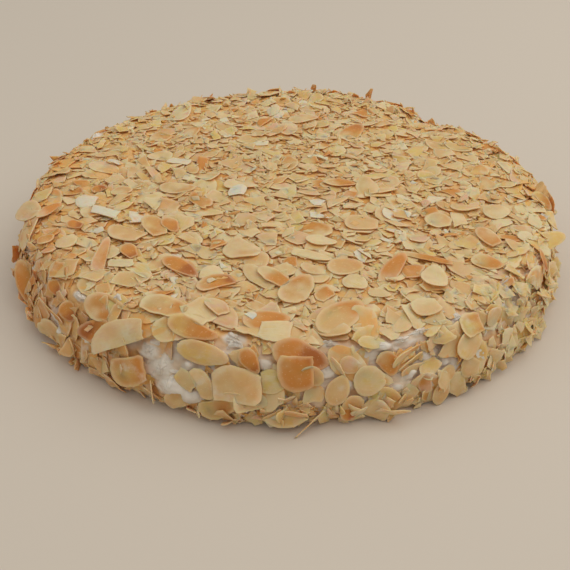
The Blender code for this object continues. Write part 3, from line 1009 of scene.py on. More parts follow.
def painted_light_by_side(piece, place):
    """Painted light on the side: its slices are paler and yellower at the right, where the light falls, and
    browner at the left, as painted shade.
    """
    if math.hypot(place[0], place[1]) < SHOULDER_RADIUS - 10 * MM:
        return piece
    angle = math.atan2(place[1], place[0])
    pale = bell_round(angle, LIT_SIDE_ANGLE)
    brown = bell_round(angle, SHADED_SIDE_ANGLE)
    tone = piece.tone - 0.6 * pale + 1.15 * brown
    toast = piece.toast * (1 - 0.6 * pale) + 0.32 * brown
    return piece._replace(tone=tone, toast=toast, hue=piece.hue - 0.25 * pale + 0.2 * brown)


def drop_all(bed, amounts, seed, pick_cell, lean_of, tries, sink):
    """Drops the slices of all kinds in a mixed order. Each takes the emptiest of a few places, and is left
    out where the cream stands bare. The first ones are pressed into the cream."""
    generator = np.random.default_rng(seed)
    kinds = [kind for kind, amount in amounts for _ in range(amount)]
    placed = []
    for number in generator.permutation(len(kinds)):
        piece = draw_slice(generator, kinds[number])
        places = [pick_cell(generator) for _ in range(tries)]
        row, column = min(places, key=lambda cell: bed.depth_near(*cell) + bed.bare_near(*cell) * SHUNS_BARE)
        if bed.bare_near(row, column) > MOST_BARE:
            continue
        turn = 2 * math.pi * generator.random()
        heading = np.array([math.cos(turn), math.sin(turn), 0.0])
        if bed.wraps:
            heading = heading_at(bed.directions[row, column], turn)
        piece = painted_light_by_side(piece, bed.points[row, column])
        sunk = PRESSED_SINK if len(placed) < len(kinds) * PRESSED_SHARE else sink
        laid = lay(bed, row, column, piece, heading, sunk, lean_of(generator, bed.points[row, column]))
        if laid:
            placed.append(laid)
    return placed


def side_cell(generator):
    """A cell of the side, from a little inside the rim down to the foot."""
    first = 6 * MM / CELL
    row = int(first + generator.random() * (side.points.shape[0] - 4 - first))
    return row, int(generator.random() * side.points.shape[1])


def side_lean(generator, place):
    """Slopes of a side slice: larger where the side is ruffled, at the right and in small waves round it."""
    angle = math.atan2(place[1], place[0])
    at_right = math.exp(-((angle - RUFFLED_ANGLE) / RUFFLED_HALF_ANGLE) ** 2)
    ruffled = SIDE_SLOPE + SLOPE_AT_RIGHT * at_right + SLOPE_WAVE * math.sin(5 * angle)
    return generator.normal() * ruffled, generator.normal() * ruffled


side_slices = drop_all(side, SIDE_MIX, SIDE_SEED, side_cell, side_lean, SIDE_TRIES, SIDE_SINK)


# The top's slices: strewn and patted down, so that they lie nearly flat in several layers, whole ones among
# many broken ones.
TOP_MIX = (
    (LARGE_WHOLE, 20), (WHOLE, 130), (HALF, 470), (CORNER, 940), (CHIP, 2000), (SLIVER, 1000), (CRUMB, 900),
)
TOP_SEED = 34
TOP_TRIES = 2
TOP_SINK = 0.25
TOP_SLOPE = 0.05


def top_cell(generator):
    """A cell drawn evenly over the top's disc."""
    distance = (SHOULDER_RADIUS - 4 * MM) * math.sqrt(generator.random())
    angle = 2 * math.pi * generator.random()
    centre = top.points.shape[0] / 2
    row = int(centre + distance * math.sin(angle) / CELL)
    return row, int(centre + distance * math.cos(angle) / CELL)


def top_lean(generator, place):
    """Slopes of a top slice, small ones everywhere."""
    return generator.normal() * TOP_SLOPE, generator.normal() * TOP_SLOPE


top_slices = drop_all(top, TOP_MIX, TOP_SEED, top_cell, top_lean, TOP_TRIES, TOP_SINK)


# The slices that show plainly, whole ones and large broken ones, laid over the others of the top and side.
# Each is given by where the two ends of its length are seen, its width in millimetres, its breaks and its
# bake. A break (s start, e end, n near side, f far side) is that many tenths of the way out from the middle.
# A lean above zero turns the face to the view, and one below zero stands the slice on a long edge.
Seen = namedtuple("Seen", "x0 y0 x1 y1 width breaks tone toast hue lean")
SEEN = {
    "long_pale_bar": Seen(291, 253, 334, 261, 6, "n8", 0.0, 0.0, -0.3, 0),
    "tan_behind_dimple": Seen(328, 270, 364, 266, 12, "", 0.6, 0.15, 0.0, 0),
    "tan_left_of_pair": Seen(245, 268, 274, 288, 8, "e7", 0.4, 0.1, -0.2, 0),
    "tan_right_of_pair": Seen(259, 270, 288, 285, 9, "e6", 0.6, 0.45, 0.1, 0),
    "dark_oval": Seen(165, 259, 198, 280, 8.5, "", 1.0, 0.85, 0.1, 0),
    "pale_half": Seen(201, 274, 226, 275, 9, "n3", 0.0, 0.0, 0.0, 0),
    "orange_polygon": Seen(195, 288, 233, 280, 11, "e7n6", 0.9, 0.8, 0.1, 0),
    "crumb_on_polygon": Seen(207, 285, 214, 281, 3, "e5n5", -0.3, 0.0, 0.0, 0),
    "tan_edge": Seen(141, 304, 188, 312, 12, "n7", 0.3, 0.35, -0.3, 0),
    "tan_pentagon": Seen(191, 305, 211, 325, 13, "e6s7", 0.2, 0.0, -0.2, 0),
    "pink_blob": Seen(209, 301, 225, 316, 9, "e7", 0.6, 0.2, 0.9, 0),
    "big_orange": Seen(243, 322, 291, 320, 12, "", 1.2, 0.62, 0.3, 0),
    "crumb_on_orange": Seen(247, 316, 255, 322, 4, "e5n5", -1.0, 0.0, 0.0, 0),
    "dimpled_tan": Seen(283, 303, 310, 277, 13, "", 0.7, 0.3, 0.1, 0),
    "orange_tan": Seen(316, 300, 330, 290, 7, "e7n7", 0.6, 0.4, 0.2, 0),
    "large_round": Seen(320, 333, 361, 302, 14.5, "", 1.2, 0.3, 0.0, 0),
    "pale_round": Seen(347, 279, 366, 292, 10, "", 0.1, 0.0, -0.1, 0),
    "pale_oval": Seen(368, 292, 391, 297, 6, "", 0.1, 0.0, 0.0, 0),
    "folded_pink": Seen(382, 285, 402, 259, 8, "n6", 0.7, 0.5, 0.8, 0.3),
    "orange_bar": Seen(400, 253, 452, 264, 4, "n6e8", 0.7, 0.7, 0.1, 0),
    "pale_upright": Seen(433, 290, 434, 267, 12, "", 0.1, 0.0, 0.0, 0),
    "tan_orange": Seen(468, 257, 500, 268, 11, "", 0.7, 0.45, 0.0, 0),
    "orange_ended": Seen(473, 228, 493, 244, 9, "e8", 0.5, 0.5, 0.0, 0),
    "flat_orange": Seen(493, 236, 518, 234, 5, "n7", 0.6, 0.6, -0.3, 0),
    "pale_far_right": Seen(477, 212, 504, 211, 12, "", 0.2, 0.0, -0.1, 0),
    "pale_long_right": Seen(446, 206, 476, 211, 8, "f6", 0.4, 0.0, 0.0, 0),
    "tan_middle_right": Seen(421, 222, 448, 224, 11, "e8", 0.5, 0.15, 0.0, 0),
    "tan_oval_top": Seen(162, 188, 200, 190, 11, "", 0.6, 0.25, 0.1, 0),
    "tan_top_left": Seen(150, 216, 162, 236, 11, "e7", 0.7, 0.35, -0.2, 0),
    "orange_top_left": Seen(167, 218, 178, 232, 8, "", 0.8, 0.6, 0.4, 0),
    "white_top": Seen(229, 192, 246, 193, 10, "e7n6", -0.7, 0.0, 0.0, 0),
    "orange_top": Seen(322, 183, 356, 184, 9, "", 0.7, 0.62, 0.2, 0),
    "tan_top": Seen(344, 223, 378, 226, 13, "e8", 1.0, 0.1, 0.0, 0),
    "pale_top": Seen(305, 240, 337, 243, 8, "", 0.0, 0.0, 0.0, 0),
    "tan_middle": Seen(225, 244, 257, 256, 14, "f7", 0.4, 0.1, 0.0, 0),
    "red_small": Seen(98, 191, 114, 189, 6, "", 0.9, 0.95, 0.7, 0),
    "tan_yellow": Seen(116, 193, 138, 192, 8, "", 0.5, 0.4, -0.3, 0),
    "tan_upper_left": Seen(32, 203, 49, 208, 13, "", 0.6, 0.1, 0.0, 0),
    "pink_diagonal_small": Seen(46, 214, 71, 208, 5, "", 0.8, 0.5, 0.5, 0),
    "pale_orange": Seen(86, 213, 118, 209, 9, "n7", 0.4, 0.5, 0.0, 0),
    "white_chip": Seen(81, 202, 102, 203, 9, "e6f7", -1.0, 0.0, 0.0, 0),
    "white_rectangle": Seen(97, 212, 123, 215, 6.5, "n6f6e7s7", -1.0, 0.0, 0.0, 0),
    "orange_small_left": Seen(73, 223, 89, 226, 5, "e7", 0.8, 0.8, 0.2, 0),
    "tan_polygon_left": Seen(112, 230, 143, 240, 12, "f6e7", 0.5, 0.1, 0.0, 0),
    "orange_by_polygon": Seen(127, 246, 136, 256, 7, "e7", 0.8, 0.7, 0.0, 0),
    "pale_bar_left": Seen(110, 263, 136, 263, 5.5, "n6f6e8", 0.1, 0.0, 0.0, 0),
    "beside_pink": Seen(103, 258, 121, 247, 8, "e7", 0.3, 0.1, 0.1, 0),
    "pink_diagonal": Seen(97, 276, 110, 244, 6, "n6", 0.6, 0.4, 1.0, 0.2),
    "tan_oval_left": Seen(45, 241, 63, 236, 8, "", 1.0, 0.5, 0.1, 0),
    "pale_left": Seen(61, 243, 84, 240, 9, "f6", 0.2, 0.0, 0.0, 0),
    "tan_corner_left": Seen(53, 268, 83, 268, 11, "e6f7", 0.8, 0.1, 0.1, 0),
    "orange_spot_left": Seen(51, 281, 60, 294, 6, "", 0.9, 0.85, 0.1, 0.2),
    "round_small_left": Seen(84, 281, 98, 281, 8, "", -0.2, 0.0, 0.0, 0),
    "oval_far_left": Seen(26, 262, 30, 303, 9.5, "", 1.0, 0.75, 0.1, 0.9),
    "edge_left": Seen(40, 295, 66, 326, 6, "n6", 0.7, 0.5, 0.0, -0.7),
    "dark_orange_left": Seen(64, 302, 74, 321, 8, "", 1.0, 1.0, 0.1, 0.3),
    "overhang_left": Seen(36, 325, 68, 341, 9, "n5", 0.5, 0.1, 0.0, 0.15),
    "half_orange": Seen(88, 303, 112, 311, 12, "e5", 0.4, 0.5, 0.0, 0.2),
    "olive_diagonal": Seen(113, 294, 130, 328, 9, "", 1.0, 0.3, -0.8, 0.2),
    "boomerang": Seen(94, 343, 147, 325, 11, "n3e7", 0.2, 0.0, 0.1, 0),
    "ochre_left": Seen(116, 371, 149, 371, 13, "e7f7", 1.4, 0.5, -0.3, 0),
    "long_ochre": Seen(168, 322, 218, 341, 8, "f7", 0.8, 0.5, -0.6, 0),
    "long_olive": Seen(179, 347, 231, 361, 9.5, "", 0.6, 0.05, -0.7, 0),
    "over_cream": Seen(179, 371, 195, 388, 7, "e6s7", 0.3, 0.0, -0.3, 0),
    "slender": Seen(196, 368, 216, 398, 7, "n6", 0.4, 0.0, -0.2, 0),
    "bottom_left": Seen(168, 397, 187, 400, 8, "e7n7", 0.6, 0.2, 0.0, 0.4),
    "bottom_tan": Seen(203, 408, 236, 408, 9, "f5", 1.0, 0.2, -0.4, 0.3),
    "bottom_pale": Seen(233, 402, 268, 402, 9, "n6", 0.3, 0.1, -0.2, 0.4),
    "tan_polygon": Seen(214, 384, 263, 383, 15, "n6e8s8", 0.6, 0.08, 0.0, 0),
    "yellow_side": Seen(262, 382, 286, 380, 10, "e7s7", 0.3, 0.0, -0.8, 0),
    "orange_oval_side": Seen(243, 347, 260, 371, 7, "", 1.0, 0.8, 0.0, 0),
    "big_orange_rim": Seen(274, 346, 330, 362, 12, "", 1.2, 0.9, -0.1, 0),
    "pale_trapezoid": Seen(260, 331, 292, 335, 11, "f5e6s7", 0.0, 0.0, 0.0, 0),
    "tan_behind_ochre": Seen(303, 366, 322, 384, 9, "", 0.7, 0.2, 0.0, 0),
    "ochre_polygon": Seen(277, 375, 313, 372, 15, "e6f6", 0.9, 0.65, 0.0, 0),
    "tan_upright": Seen(331, 404, 344, 375, 9.5, "", 0.9, 0.1, -0.1, 0),
    "yellow_bar": Seen(357, 341, 386, 340, 5.5, "", 0.1, 0.0, -0.7, 0),
    "pink_side": Seen(341, 361, 360, 369, 7, "e7", 0.5, 0.2, 0.7, 0),
    "thin_edge": Seen(331, 357, 348, 375, 2.5, "", 0.0, 0.0, 0.1, -0.6),
    "orange_pink_side": Seen(382, 352, 396, 374, 8, "n7", 0.7, 0.5, 0.5, 0),
    "edge_long": Seen(390, 364, 421, 344, 5, "n7", 0.4, 0.35, -0.1, -0.8),
    "edge_long_below": Seen(397, 369, 424, 352, 5, "n7", 0.3, 0.1, -0.3, -0.8),
    "round_side": Seen(354, 382, 386, 379, 13, "", 0.6, 0.0, -0.2, 0),
    "bottom_dark": Seen(341, 413, 357, 412, 6, "", 1.0, 1.0, 0.3, 0.4),
    "bottom_pale_right": Seen(363, 412, 388, 417, 9, "n6e7", 0.2, 0.0, 0.1, 0.5),
    "big_pale_right": Seen(455, 357, 476, 330, 11, "", 0.4, 0.0, -0.4, 0),
    "yellow_corner": Seen(458, 326, 478, 319, 10, "e6n7", 0.3, 0.35, -0.5, 0),
    "tan_lower_right": Seen(460, 366, 479, 366, 9, "e7", 0.5, 0.0, -0.1, 0),
    "tan_right": Seen(486, 324, 500, 308, 8, "", 0.5, 0.1, 0.0, 0),
    "bottom_right": Seen(418, 405, 442, 392, 10, "n7e7", 0.2, 0.0, 0.1, 0.5),
    "bottom_far_right": Seen(453, 398, 469, 396, 6, "n6", 0.2, 0.0, 0.0, 0.5),
    "pale_rim_right": Seen(413, 311, 440, 306, 11, "e7", 0.2, 0.0, -0.2, 0),
    "yellow_far_right": Seen(530, 247, 558, 243, 9, "", 0.5, 0.1, -0.9, 0.2),
    "orange_far_right": Seen(538, 251, 549, 270, 6, "", 0.8, 0.8, 0.1, 0),
    "ochre_far_right": Seen(541, 186, 551, 207, 7, "", 0.7, 0.4, -0.6, 0.3),
    "low_chip_right": Seen(403, 396, 416, 386, 7, "e7n7", 0.4, 0.2, 0.0, 0.2),
    "low_tan_right": Seen(435, 397, 447, 379, 8, "e7", 0.4, 0.1, -0.2, 0.3),
    "bar_right": Seen(451, 375, 460, 393, 8, "e7f7", 0.3, 0.0, -0.3, 0.2),
    "tan_wedge_right": Seen(436, 383, 452, 363, 6.5, "n6", 0.5, 0.2, 0.0, 0.2),
    "wedge_right": Seen(425, 378, 438, 358, 7, "e7n7", 0.3, 0.1, -0.5, 0.1),
    "pink_upright": Seen(422, 390, 420, 365, 5.5, "n6", 0.7, 0.45, 0.8, 0.2),
    "thin_edge_right": Seen(401, 378, 424, 361, 4, "n6", 0.5, 0.2, 0.0, -0.6),
}
SEEN_SEED = 89
SEEN_EGG = (0.08, 0.25)
SEEN_WANDER = 0.12
SEEN_SINK = 0.03
SEEN_LEANING_SINK = 0.3
TONE_STRENGTH = 1.3
TOAST_STRENGTH = 1.2
HUE_STRENGTH = 0.8
SIDES = {"s": (-1, 0), "e": (1, 0), "n": (0, -1), "f": (0, 1)}
MIDDLE_PIXEL = (285, 250)

top_tree = top.surface()
side_tree = side.surface()


def seen_point(pixel_x, pixel_y):
    """Where the pile is seen at a pixel. A pixel just off the torte is drawn in towards its middle."""
    for share in np.linspace(0, 0.2, 41):
        x = pixel_x + (MIDDLE_PIXEL[0] - pixel_x) * share
        y = pixel_y + (MIDDLE_PIXEL[1] - pixel_y) * share
        hits = [tree.ray_cast(camera_place, sight_line(x, y)) for tree in (top_tree, side_tree)]
        hits = [(hit[3], hit[0]) for hit in hits if hit[0] is not None]
        if hits:
            return np.array(min(hits, key=lambda hit: hit[0])[1])
    return None


def cell_under(point):
    """The bed that a point lies on, and its nearest cell there."""
    if point[2] > EDGE_HEIGHT - 1 * MM and math.hypot(point[0], point[1]) < SHOULDER_RADIUS - 3 * MM:
        centre = top.points.shape[0] / 2
        return top, int(centre + point[1] / CELL), int(centre + point[0] / CELL)
    angle = math.atan2(point[1], point[0]) % (2 * math.pi)
    column = int(angle / (2 * math.pi) * side.points.shape[1])
    surface = side.points[:, column] + side.directions[:, column] * side.pile[:, column, None]
    return side, int(np.argmin(np.linalg.norm(surface - point, axis=1))), column


def lay_seen(seen, generator):
    """Lays one slice by its two ends. Its own ellipse is larger than what its breaks leave of it."""
    start, end = seen_point(seen.x0, seen.y0), seen_point(seen.x1, seen.y1)
    heading = end - start
    reach = {name: 1.0 for name in SIDES}
    for name, tenths in zip(seen.breaks[::2], seen.breaks[1::2]):
        reach[name] = int(tenths) / 10
    half_length = np.linalg.norm(heading) / (reach["s"] + reach["e"])
    half_width = seen.width * MM / (reach["n"] + reach["f"])
    unit = heading / np.linalg.norm(heading)
    place = start + unit * half_length * reach["s"]
    bed, row, column = cell_under(place)
    aside = np.cross(bed.directions[row, column], unit)
    bed, row, column = cell_under(place - aside * half_width * (reach["f"] - reach["n"]) / 2)
    cuts = []
    for name, share in reach.items():
        x, y = SIDES[name]
        if share < 1:
            turn = math.atan2(y, x) + generator.normal() * SEEN_WANDER
            cuts.append((turn, share * (half_length if x else half_width)))
    cuts = (cuts + [NO_CUT] * MOST_CUTS)[:MOST_CUTS]
    egg = spread(generator, SEEN_EGG)
    thick = spread(generator, SLICE_THICKNESS)
    tone, toast, hue = seen.tone * TONE_STRENGTH, seen.toast * TOAST_STRENGTH, seen.hue * HUE_STRENGTH
    size = (2 * half_length, 2 * half_width, egg)
    piece = Slice(*size, tuple(cuts), thick, tone, toast, hue, generator.random())
    lean = (0.0, -seen.lean)
    if seen.lean > 0:
        to_view = np.array(camera_place) - place
        to_view = to_view / np.linalg.norm(to_view)
        aside = np.cross(bed.directions[row, column], unit)
        slopes = np.array([to_view @ unit, to_view @ aside])
        lean = -seen.lean * slopes / np.linalg.norm(slopes)
    sink = SEEN_LEANING_SINK if seen.lean else SEEN_SINK
    return lay(bed, row, column, piece, heading, sink, lean, claims=True)


seen_generator = np.random.default_rng(SEEN_SEED)
seen_slices = [lay_seen(seen, seen_generator) for seen in SEEN.values()]


# The skirt: slices that slid down the side while they were pressed on, and lean out from its foot onto what
# the torte stands on.
SKIRT_MIX = ((HALF, 60), (CORNER, 180), (CHIP, 320), (SLIVER, 40))
SKIRT_SEED = 55
SKIRT_ROWS = 15
SKIRT_SLOPE = (0.2, 1.0)
SKIRT_WANDER = 0.2
SKIRT_SINK = 0.3


def lay_skirt():
    """Lays the skirt's slices on the last rows of the side bed, mostly lengthwise round the foot, and leaves
    out those that would lie on a seen one."""
    generator = np.random.default_rng(SKIRT_SEED)
    kinds = [kind for kind, amount in SKIRT_MIX for _ in range(amount)]
    placed = []
    for number in generator.permutation(len(kinds)):
        piece = draw_slice(generator, kinds[number])
        row = side.points.shape[0] - 1 - int(SKIRT_ROWS * generator.random())
        column = int(generator.random() * side.points.shape[1])
        if side.claimed[row, column]:
            continue
        turn = generator.normal()
        heading = heading_at(side.directions[row, column], turn)
        slope = spread(generator, SKIRT_SLOPE)
        lean = (slope * math.sin(turn) + generator.normal() * SKIRT_WANDER, -slope * math.cos(turn))
        piece = painted_light_by_side(piece, side.points[row, column])
        laid = lay(side, row, column, piece, heading, SKIRT_SINK, lean, settles=False)
        if laid:
            placed.append(laid)
    return placed


skirt_slices = lay_skirt()


# The ruffles: slices that stand off the pile, on an edge or a corner. They crowd the heap at the back and the
# right of the rim, and a few stand at the left and all round. Each group has an amount, the angles round the
# cake and the runs from the rim that it keeps to, its slopes, how far it turns to the front and its kinds.
Ruffle = namedtuple("Ruffle", "amount angles runs slopes to_front kinds")
RUFFLES = {
    "heap": Ruffle(70, (53, 100), (-14, 3), (0.7, 1.9), 0.0, (CHIP, SLIVER, CHIP, SLIVER)),
    "back_rim": Ruffle(40, (100, 165), (-8, 4), (0.4, 1.2), 0.0, (CHIP, SLIVER)),
    "right_rim": Ruffle(110, (-62, 30), (-5, 9), (0.1, 0.7), 0.5, (CHIP, CORNER, CHIP)),
    "right_side": Ruffle(260, (-60, 24), (4, 34), (0.1, 0.6), 1.0, (CHIP, CORNER, CHIP, CORNER, SLIVER)),
    "left_side": Ruffle(50, (165, 225), (2, 34), (0.1, 0.4), 0.5, (CHIP, SLIVER, CHIP)),
    "back_side": Ruffle(90, (30, 165), (0, 34), (0.3, 1.2), 0.0, (CHIP, CORNER, SLIVER)),
    "front_side": Ruffle(60, (225, 300), (0, 34), (0.3, 0.9), 0.0, (CHIP, CORNER, SLIVER)),
}
FRONT = np.array([0.0, -0.85, 0.53])
FACED_SHARE = (0.4, 1.3)
CLEARANCE = 4 * MM
RUFFLE_SINK = 0.35
RUFFLE_SEED = 68


def lay_ruffles():
    """Lays each group's slices on the side bed at steep slopes in any direction, plus a turn to the front,
    and keeps them clear of the seen ones."""
    generator = np.random.default_rng(RUFFLE_SEED)
    placed = []
    for group in RUFFLES.values():
        for number in range(group.amount):
            piece = draw_slice(generator, group.kinds[number % len(group.kinds)])
            angle = math.radians(spread(generator, group.angles)) % (2 * math.pi)
            run = SHOULDER_RUN + spread(generator, group.runs) * MM
            row = min(max(int((run - SIDE_BED_START) / CELL), 0), side.points.shape[0] - 1)
            column = int(angle / (2 * math.pi) * side.points.shape[1]) % side.points.shape[1]
            if side.claimed[side.window(row, column, CLEARANCE)].any():
                continue
            turn = 2 * math.pi * generator.random()
            slope = spread(generator, group.slopes)
            outwards = side.directions[row, column]
            heading = heading_at(outwards, turn)
            turn = 2 * math.pi * generator.random()
            faced = group.to_front * spread(generator, FACED_SHARE)
            faced = faced / (1 + faced * max(FRONT @ outwards, 0))
            lean = (
                slope * math.cos(turn) - faced * (FRONT @ heading),
                slope * math.sin(turn) - faced * (FRONT @ np.cross(outwards, heading)),
            )
            piece = painted_light_by_side(piece, side.points[row, column])
            laid = lay(side, row, column, piece, heading, RUFFLE_SINK, lean, settles=False)
            if laid:
                placed.append(laid)
    return placed


ruffle_slices = lay_ruffles()


# All the laid slices as meshes, a few thousand of them, the larger ones with more corners. The top's are in
# two meshes each, in the order in which they fell.
LARGE_LENGTH = 12 * MM
LARGE_WIDTH = 5 * MM
CRUMB_LENGTH = 4.5 * MM
SEEN_RAGGED = 0.35


def by_size(placed):
    """Sorts placed slices into large ones, small ones and crumbs."""
    large, small, crumbs = [], [], []
    for one in placed:
        if one.slice.length >= LARGE_LENGTH and one.slice.width >= LARGE_WIDTH:
            large.append(one)
        elif one.slice.length >= CRUMB_LENGTH:
            small.append(one)
        else:
            crumbs.append(one)
    return large, small, crumbs


top_large, top_small, top_crumbs = by_size(top_slices)
half = len(top_large) // 2
slices_object("top_slices_lower", top, top_large[:half], 18, 1, first_ring=1)
slices_object("top_slices_upper", top, top_large[half:], 21, 2)
half = len(top_small) // 2
slices_object("top_chips_lower", top, top_small[:half], 12, 3, first_ring=1)
slices_object("top_chips_upper", top, top_small[half:], 12, 3, first_ring=1)
slices_object("top_crumbs", top, top_crumbs, 7, 4, first_ring=1)
side_large, side_small, side_crumbs = by_size(side_slices)
slices_object("side_slices", side, side_large, 24, 5)
slices_object("side_chips", side, side_small + side_crumbs, 14, 6, first_ring=1)
slices_object("skirt_slices", None, skirt_slices, 16, 7, first_ring=1)
slices_object("ruffle_slices", None, ruffle_slices, 14, 9, first_ring=1)
slices_object("front_slices", None, [one for one in seen_slices if one], 48, 8, ragged=SEEN_RAGGED)


# The coat itself, now that the slices are on it: the cream that is squeezed up between the slices of the
# side, and the almond crumbs that fill the pile on the top, both just under the faces of the slices. The
# crumbs' warm orange is partly painted shade in the gaps.
COAT_SECTORS = 510
CROWN_RINGS = 60
WALL_RINGS = 84
CREVICE = 0.25 * MM
SQUEEZED = 0.42 * MM
UNDER_CLAIMED = 0.8 * MM
COVER_CELLS = 2
MOST_FILLED = 8 * MM
MOST_SUNK = 0.3 * MM
OFF_BED = 1.0
CREAMY = 0.75
LEAST_CREAMY = 0.05
CREAMY_PATCHES = (9 * MM, 1.3, 43)
CRUMBS_AT_SHADED_SIDE = 0.6
SQUEEZE_PATCHES = (3.5 * MM, 0.15, 41)
coat_angles = 2 * math.pi * np.arange(COAT_SECTORS) / COAT_SECTORS
coat_runs = np.concatenate([
    np.linspace(3 * MM, SHOULDER_RUN - 12 * MM, CROWN_RINGS),
    np.linspace(SHOULDER_RUN - 12 * MM, RUN[-1], WALL_RINGS)[1:],
])


def pile_depth(points):
    """The depth of pile over the coat's grid: the lesser of the two beds' where both reach."""
    cells = top.grid_cells(points)
    on_top = np.where(top.usable[cells], top.lowest_near(COVER_CELLS)[cells], OFF_BED)
    rows = ((coat_runs - SIDE_BED_START) / CELL).astype(int)
    cells = np.ix_(np.clip(rows, 0, side.points.shape[0] - 1), side.band_columns(coat_angles))
    on_side = side.lowest_near(COVER_CELLS)[cells] - UNDER_CLAIMED * side.claimed[cells]
    on_side = np.where(rows[:, None] < 0, OFF_BED, on_side)
    return np.minimum(np.minimum(on_top, on_side), MOST_FILLED)


coat_points, coat_directions = coat_grid(coat_angles, coat_runs)
filled = pile_depth(coat_points) - CREVICE
on_side = np.clip((EDGE_HEIGHT - coat_points[..., 2]) / (4 * MM), 0, 1)
coat_bare, _ = bareness(coat_angles[None, :], coat_runs[:, None], coat_points)
cell, size, seed = CREAMY_PATCHES
creamy = CREAMY + size * lattice_noise(coat_points, cell, seed)
# Painted shade: more crumbs and less cream at the shaded left of the side.
creamy = creamy - CRUMBS_AT_SHADED_SIDE * bell_round(coat_angles[None, :], SHADED_SIDE_ANGLE)
crumbs = 1 - on_side * np.clip(creamy, LEAST_CREAMY, 1)
crumbs = np.minimum(crumbs, 1 - np.clip(coat_bare * 2, 0, 1))
cell, least, seed = SQUEEZE_PATCHES
filled += on_side * SQUEEZED * ((1 - crumbs) * (least + lattice_noise(coat_points, cell, seed)) - crumbs)
coat_points = coat_points + coat_directions * np.maximum(filled, -MOST_SUNK)[..., None]
coat_points[..., 2] = np.maximum(coat_points[..., 2], 0)
coat_points[-1, :, 2] = 0
crown_height = coat_points[0, :, 2].mean()
coat = shell_of_rings("cream_coat", coat_points, (0, 0, crown_height), (0, 0, 0))
add_values(coat.data, "crumbs", "FLOAT", "value", np.concatenate([[1.0], crumbs.ravel(), [0.0]]))
cream = cream_material()
coat.data.materials.append(cream)
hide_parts("torte")
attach(coat, "root")


# The bare spots' own cream: torn peaks and smears that stand between the slices and over their edges.
PEAK_RINGS = 15
PEAK_SECTORS = 46
PEAK_REACH = 1.3
PEAK_RAGGED = 0.7
PEAK_TORN = 2.4
PEAK_FLARE = 1.8
PEAK_LIFT = 0.1 * MM
PEAK_SKIRT = 1.0 * MM
PEAK_ROOT = 2 * MM
WARP_CELL = 3 * MM
WARP = 1.5 * MM
WARP_SEED = 55
PEAK_RIDGES = ((3.4 * MM, 0.8 * MM, 51), (1.6 * MM, 0.5 * MM, 52), (0.8 * MM, 0.2 * MM, 53))
STREAK = 0.3
PEAK_SEED = 54


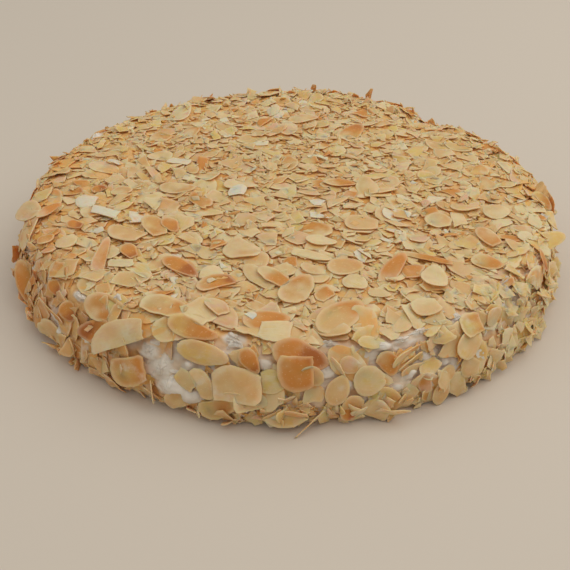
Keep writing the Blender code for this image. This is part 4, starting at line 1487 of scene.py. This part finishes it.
def cream_peaks():
    """One closed lump on each bare spot. Over its disc it rises as 1 - s^1.8, where s goes from 0 at its
    middle to 1 at its ragged edge, with sharp ridges of lattice noise that are drawn out along the
    spatula's stroke. Fans to its middle and to a point under the coat close it."""
    spots = SPOTS[:, :, None, None]
    stroke = 2 * math.pi * np.random.default_rng(PEAK_SEED).random((len(SPOTS), 1, 1, 1))
    share = np.linspace(0, 1, PEAK_RINGS + 1)[1:][None, :, None]
    turn = (2 * math.pi * np.arange(PEAK_SECTORS) / PEAK_SECTORS)[None, None, :]
    round_edge = (np.cos(turn) * PEAK_TORN, np.sin(turn) * PEAK_TORN, spots[:, 0] * 9)
    edge = np.stack(np.broadcast_arrays(*round_edge), axis=-1)
    reach = PEAK_REACH * (1 + PEAK_RAGGED * lattice_noise(edge, 1.0, PEAK_SEED)) * share
    angle = spots[:, 0] + reach * spots[:, 2] * np.cos(turn) / BELLY_RADIUS
    run = spots[:, 1] + reach * spots[:, 3] * np.sin(turn)
    base = plain_coat(angle, run)
    direction = square_to_section(angle, run)
    round_cake = np.stack([-np.sin(angle), np.cos(angle), 0 * angle], axis=-1)
    drawn = round_cake * np.cos(stroke) + np.cross(direction, round_cake) * np.sin(stroke)
    along = (base * drawn).sum(axis=-1, keepdims=True) * drawn * STREAK
    warp = lattice_noise(base, WARP_CELL, WARP_SEED)[..., None] * direction[..., [1, 2, 0]] * WARP
    ridges = sharp_ridges(base - along + warp, PEAK_RIDGES)
    fall = share**PEAK_FLARE
    height = (spots[:, 4] + PEAK_LIFT) * (1 - fall) - PEAK_SKIRT * fall + ridges * (1 - share**3)
    points = base + direction * height[..., None]
    points[..., 2] = np.maximum(points[..., 2], 0.1 * MM)
    middle = points[:, 0].mean(axis=1)
    under = plain_coat(SPOTS[:, 0], SPOTS[:, 1]) - direction[:, 0, 0] * PEAK_ROOT
    count = len(SPOTS)
    size = 2 + PEAK_RINGS * PEAK_SECTORS
    points = np.concatenate([middle[:, None], points.reshape(count, -1, 3), under[:, None]], axis=1)
    here = np.arange(PEAK_SECTORS)
    after = (here + 1) % PEAK_SECTORS
    last = 1 + (PEAK_RINGS - 1) * PEAK_SECTORS
    faces = [np.stack([0 * here, 1 + after, 1 + here], axis=-1)]
    for ring in range(PEAK_RINGS - 1):
        inner, outer = 1 + ring * PEAK_SECTORS, 1 + (ring + 1) * PEAK_SECTORS
        faces.append(np.stack([inner + here, outer + after, outer + here], axis=-1))
        faces.append(np.stack([inner + here, inner + after, outer + after], axis=-1))
    faces.append(np.stack([0 * here + size - 1, last + here, last + after], axis=-1))
    faces = (np.concatenate(faces)[None] + size * np.arange(count)[:, None, None]).reshape(-1, 3)
    mesh = bpy.data.meshes.new("cream_peaks")
    mesh.from_pydata(points.reshape(-1, 3).tolist(), [], faces.tolist())
    mesh.shade_smooth()
    thing = bpy.data.objects.new("cream_peaks", mesh)
    bpy.context.scene.collection.objects.link(thing)
    thing.data.materials.append(cream)
    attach(thing, "root")
    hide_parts("torte")


cream_peaks()


# The studio: a plain pale floor and soft light from above.
FLOOR_REACH = 3
FLOOR_CORNERS = [(x * FLOOR_REACH, y * FLOOR_REACH, 0) for x, y in ((-1, -1), (1, -1), (1, 1), (-1, 1))]
LIT_POINT = Vector((0, 0, 20 * MM))
floor_mesh = bpy.data.meshes.new("floor")
floor_mesh.from_pydata(FLOOR_CORNERS, [], [(0, 1, 2, 3)])
floor = bpy.data.objects.new("floor", floor_mesh)
bpy.context.scene.collection.objects.link(floor)
floor_material, _, floor_shader = new_material("pale_floor")
floor_shader.inputs["Base Color"].default_value = (0.70, 0.61, 0.50, 1)
floor_shader.inputs["Roughness"].default_value = 0.7
floor.data.materials.append(floor_material)


def area_light(name, place, size, power, colour):
    """A square soft light that faces the torte's middle."""
    light = bpy.data.objects.new(name, bpy.data.lights.new(name, "AREA"))
    light.data.size = size
    light.data.energy = power
    light.data.color = colour
    light.location = place
    light.rotation_euler = (LIT_POINT - Vector(place)).to_track_quat("-Z", "Y").to_euler()
    bpy.context.scene.collection.objects.link(light)


area_light("overhead", (0.7, 0.15, 0.95), 1.2, 4.0, (1.0, 0.98, 0.95))
world = bpy.data.worlds.new("soft_room")
world.use_nodes = True
sky = world.node_tree
sky_direction = node(sky, "ShaderNodeTexCoord").outputs["Generated"]
sky_height = node(sky, "ShaderNodeSeparateXYZ", Vector=sky_direction).outputs[2]
sky_glow = ranged(sky, sky_height, -0.1, 1.0, 0.10, 0.80)
sky.links.new(sky_glow, sky.nodes["Background"].inputs["Strength"])
sky.nodes["Background"].inputs["Color"].default_value = (1.0, 0.99, 0.97, 1)
bpy.context.scene.world = world
bpy.context.scene.view_settings.view_transform = "Standard"
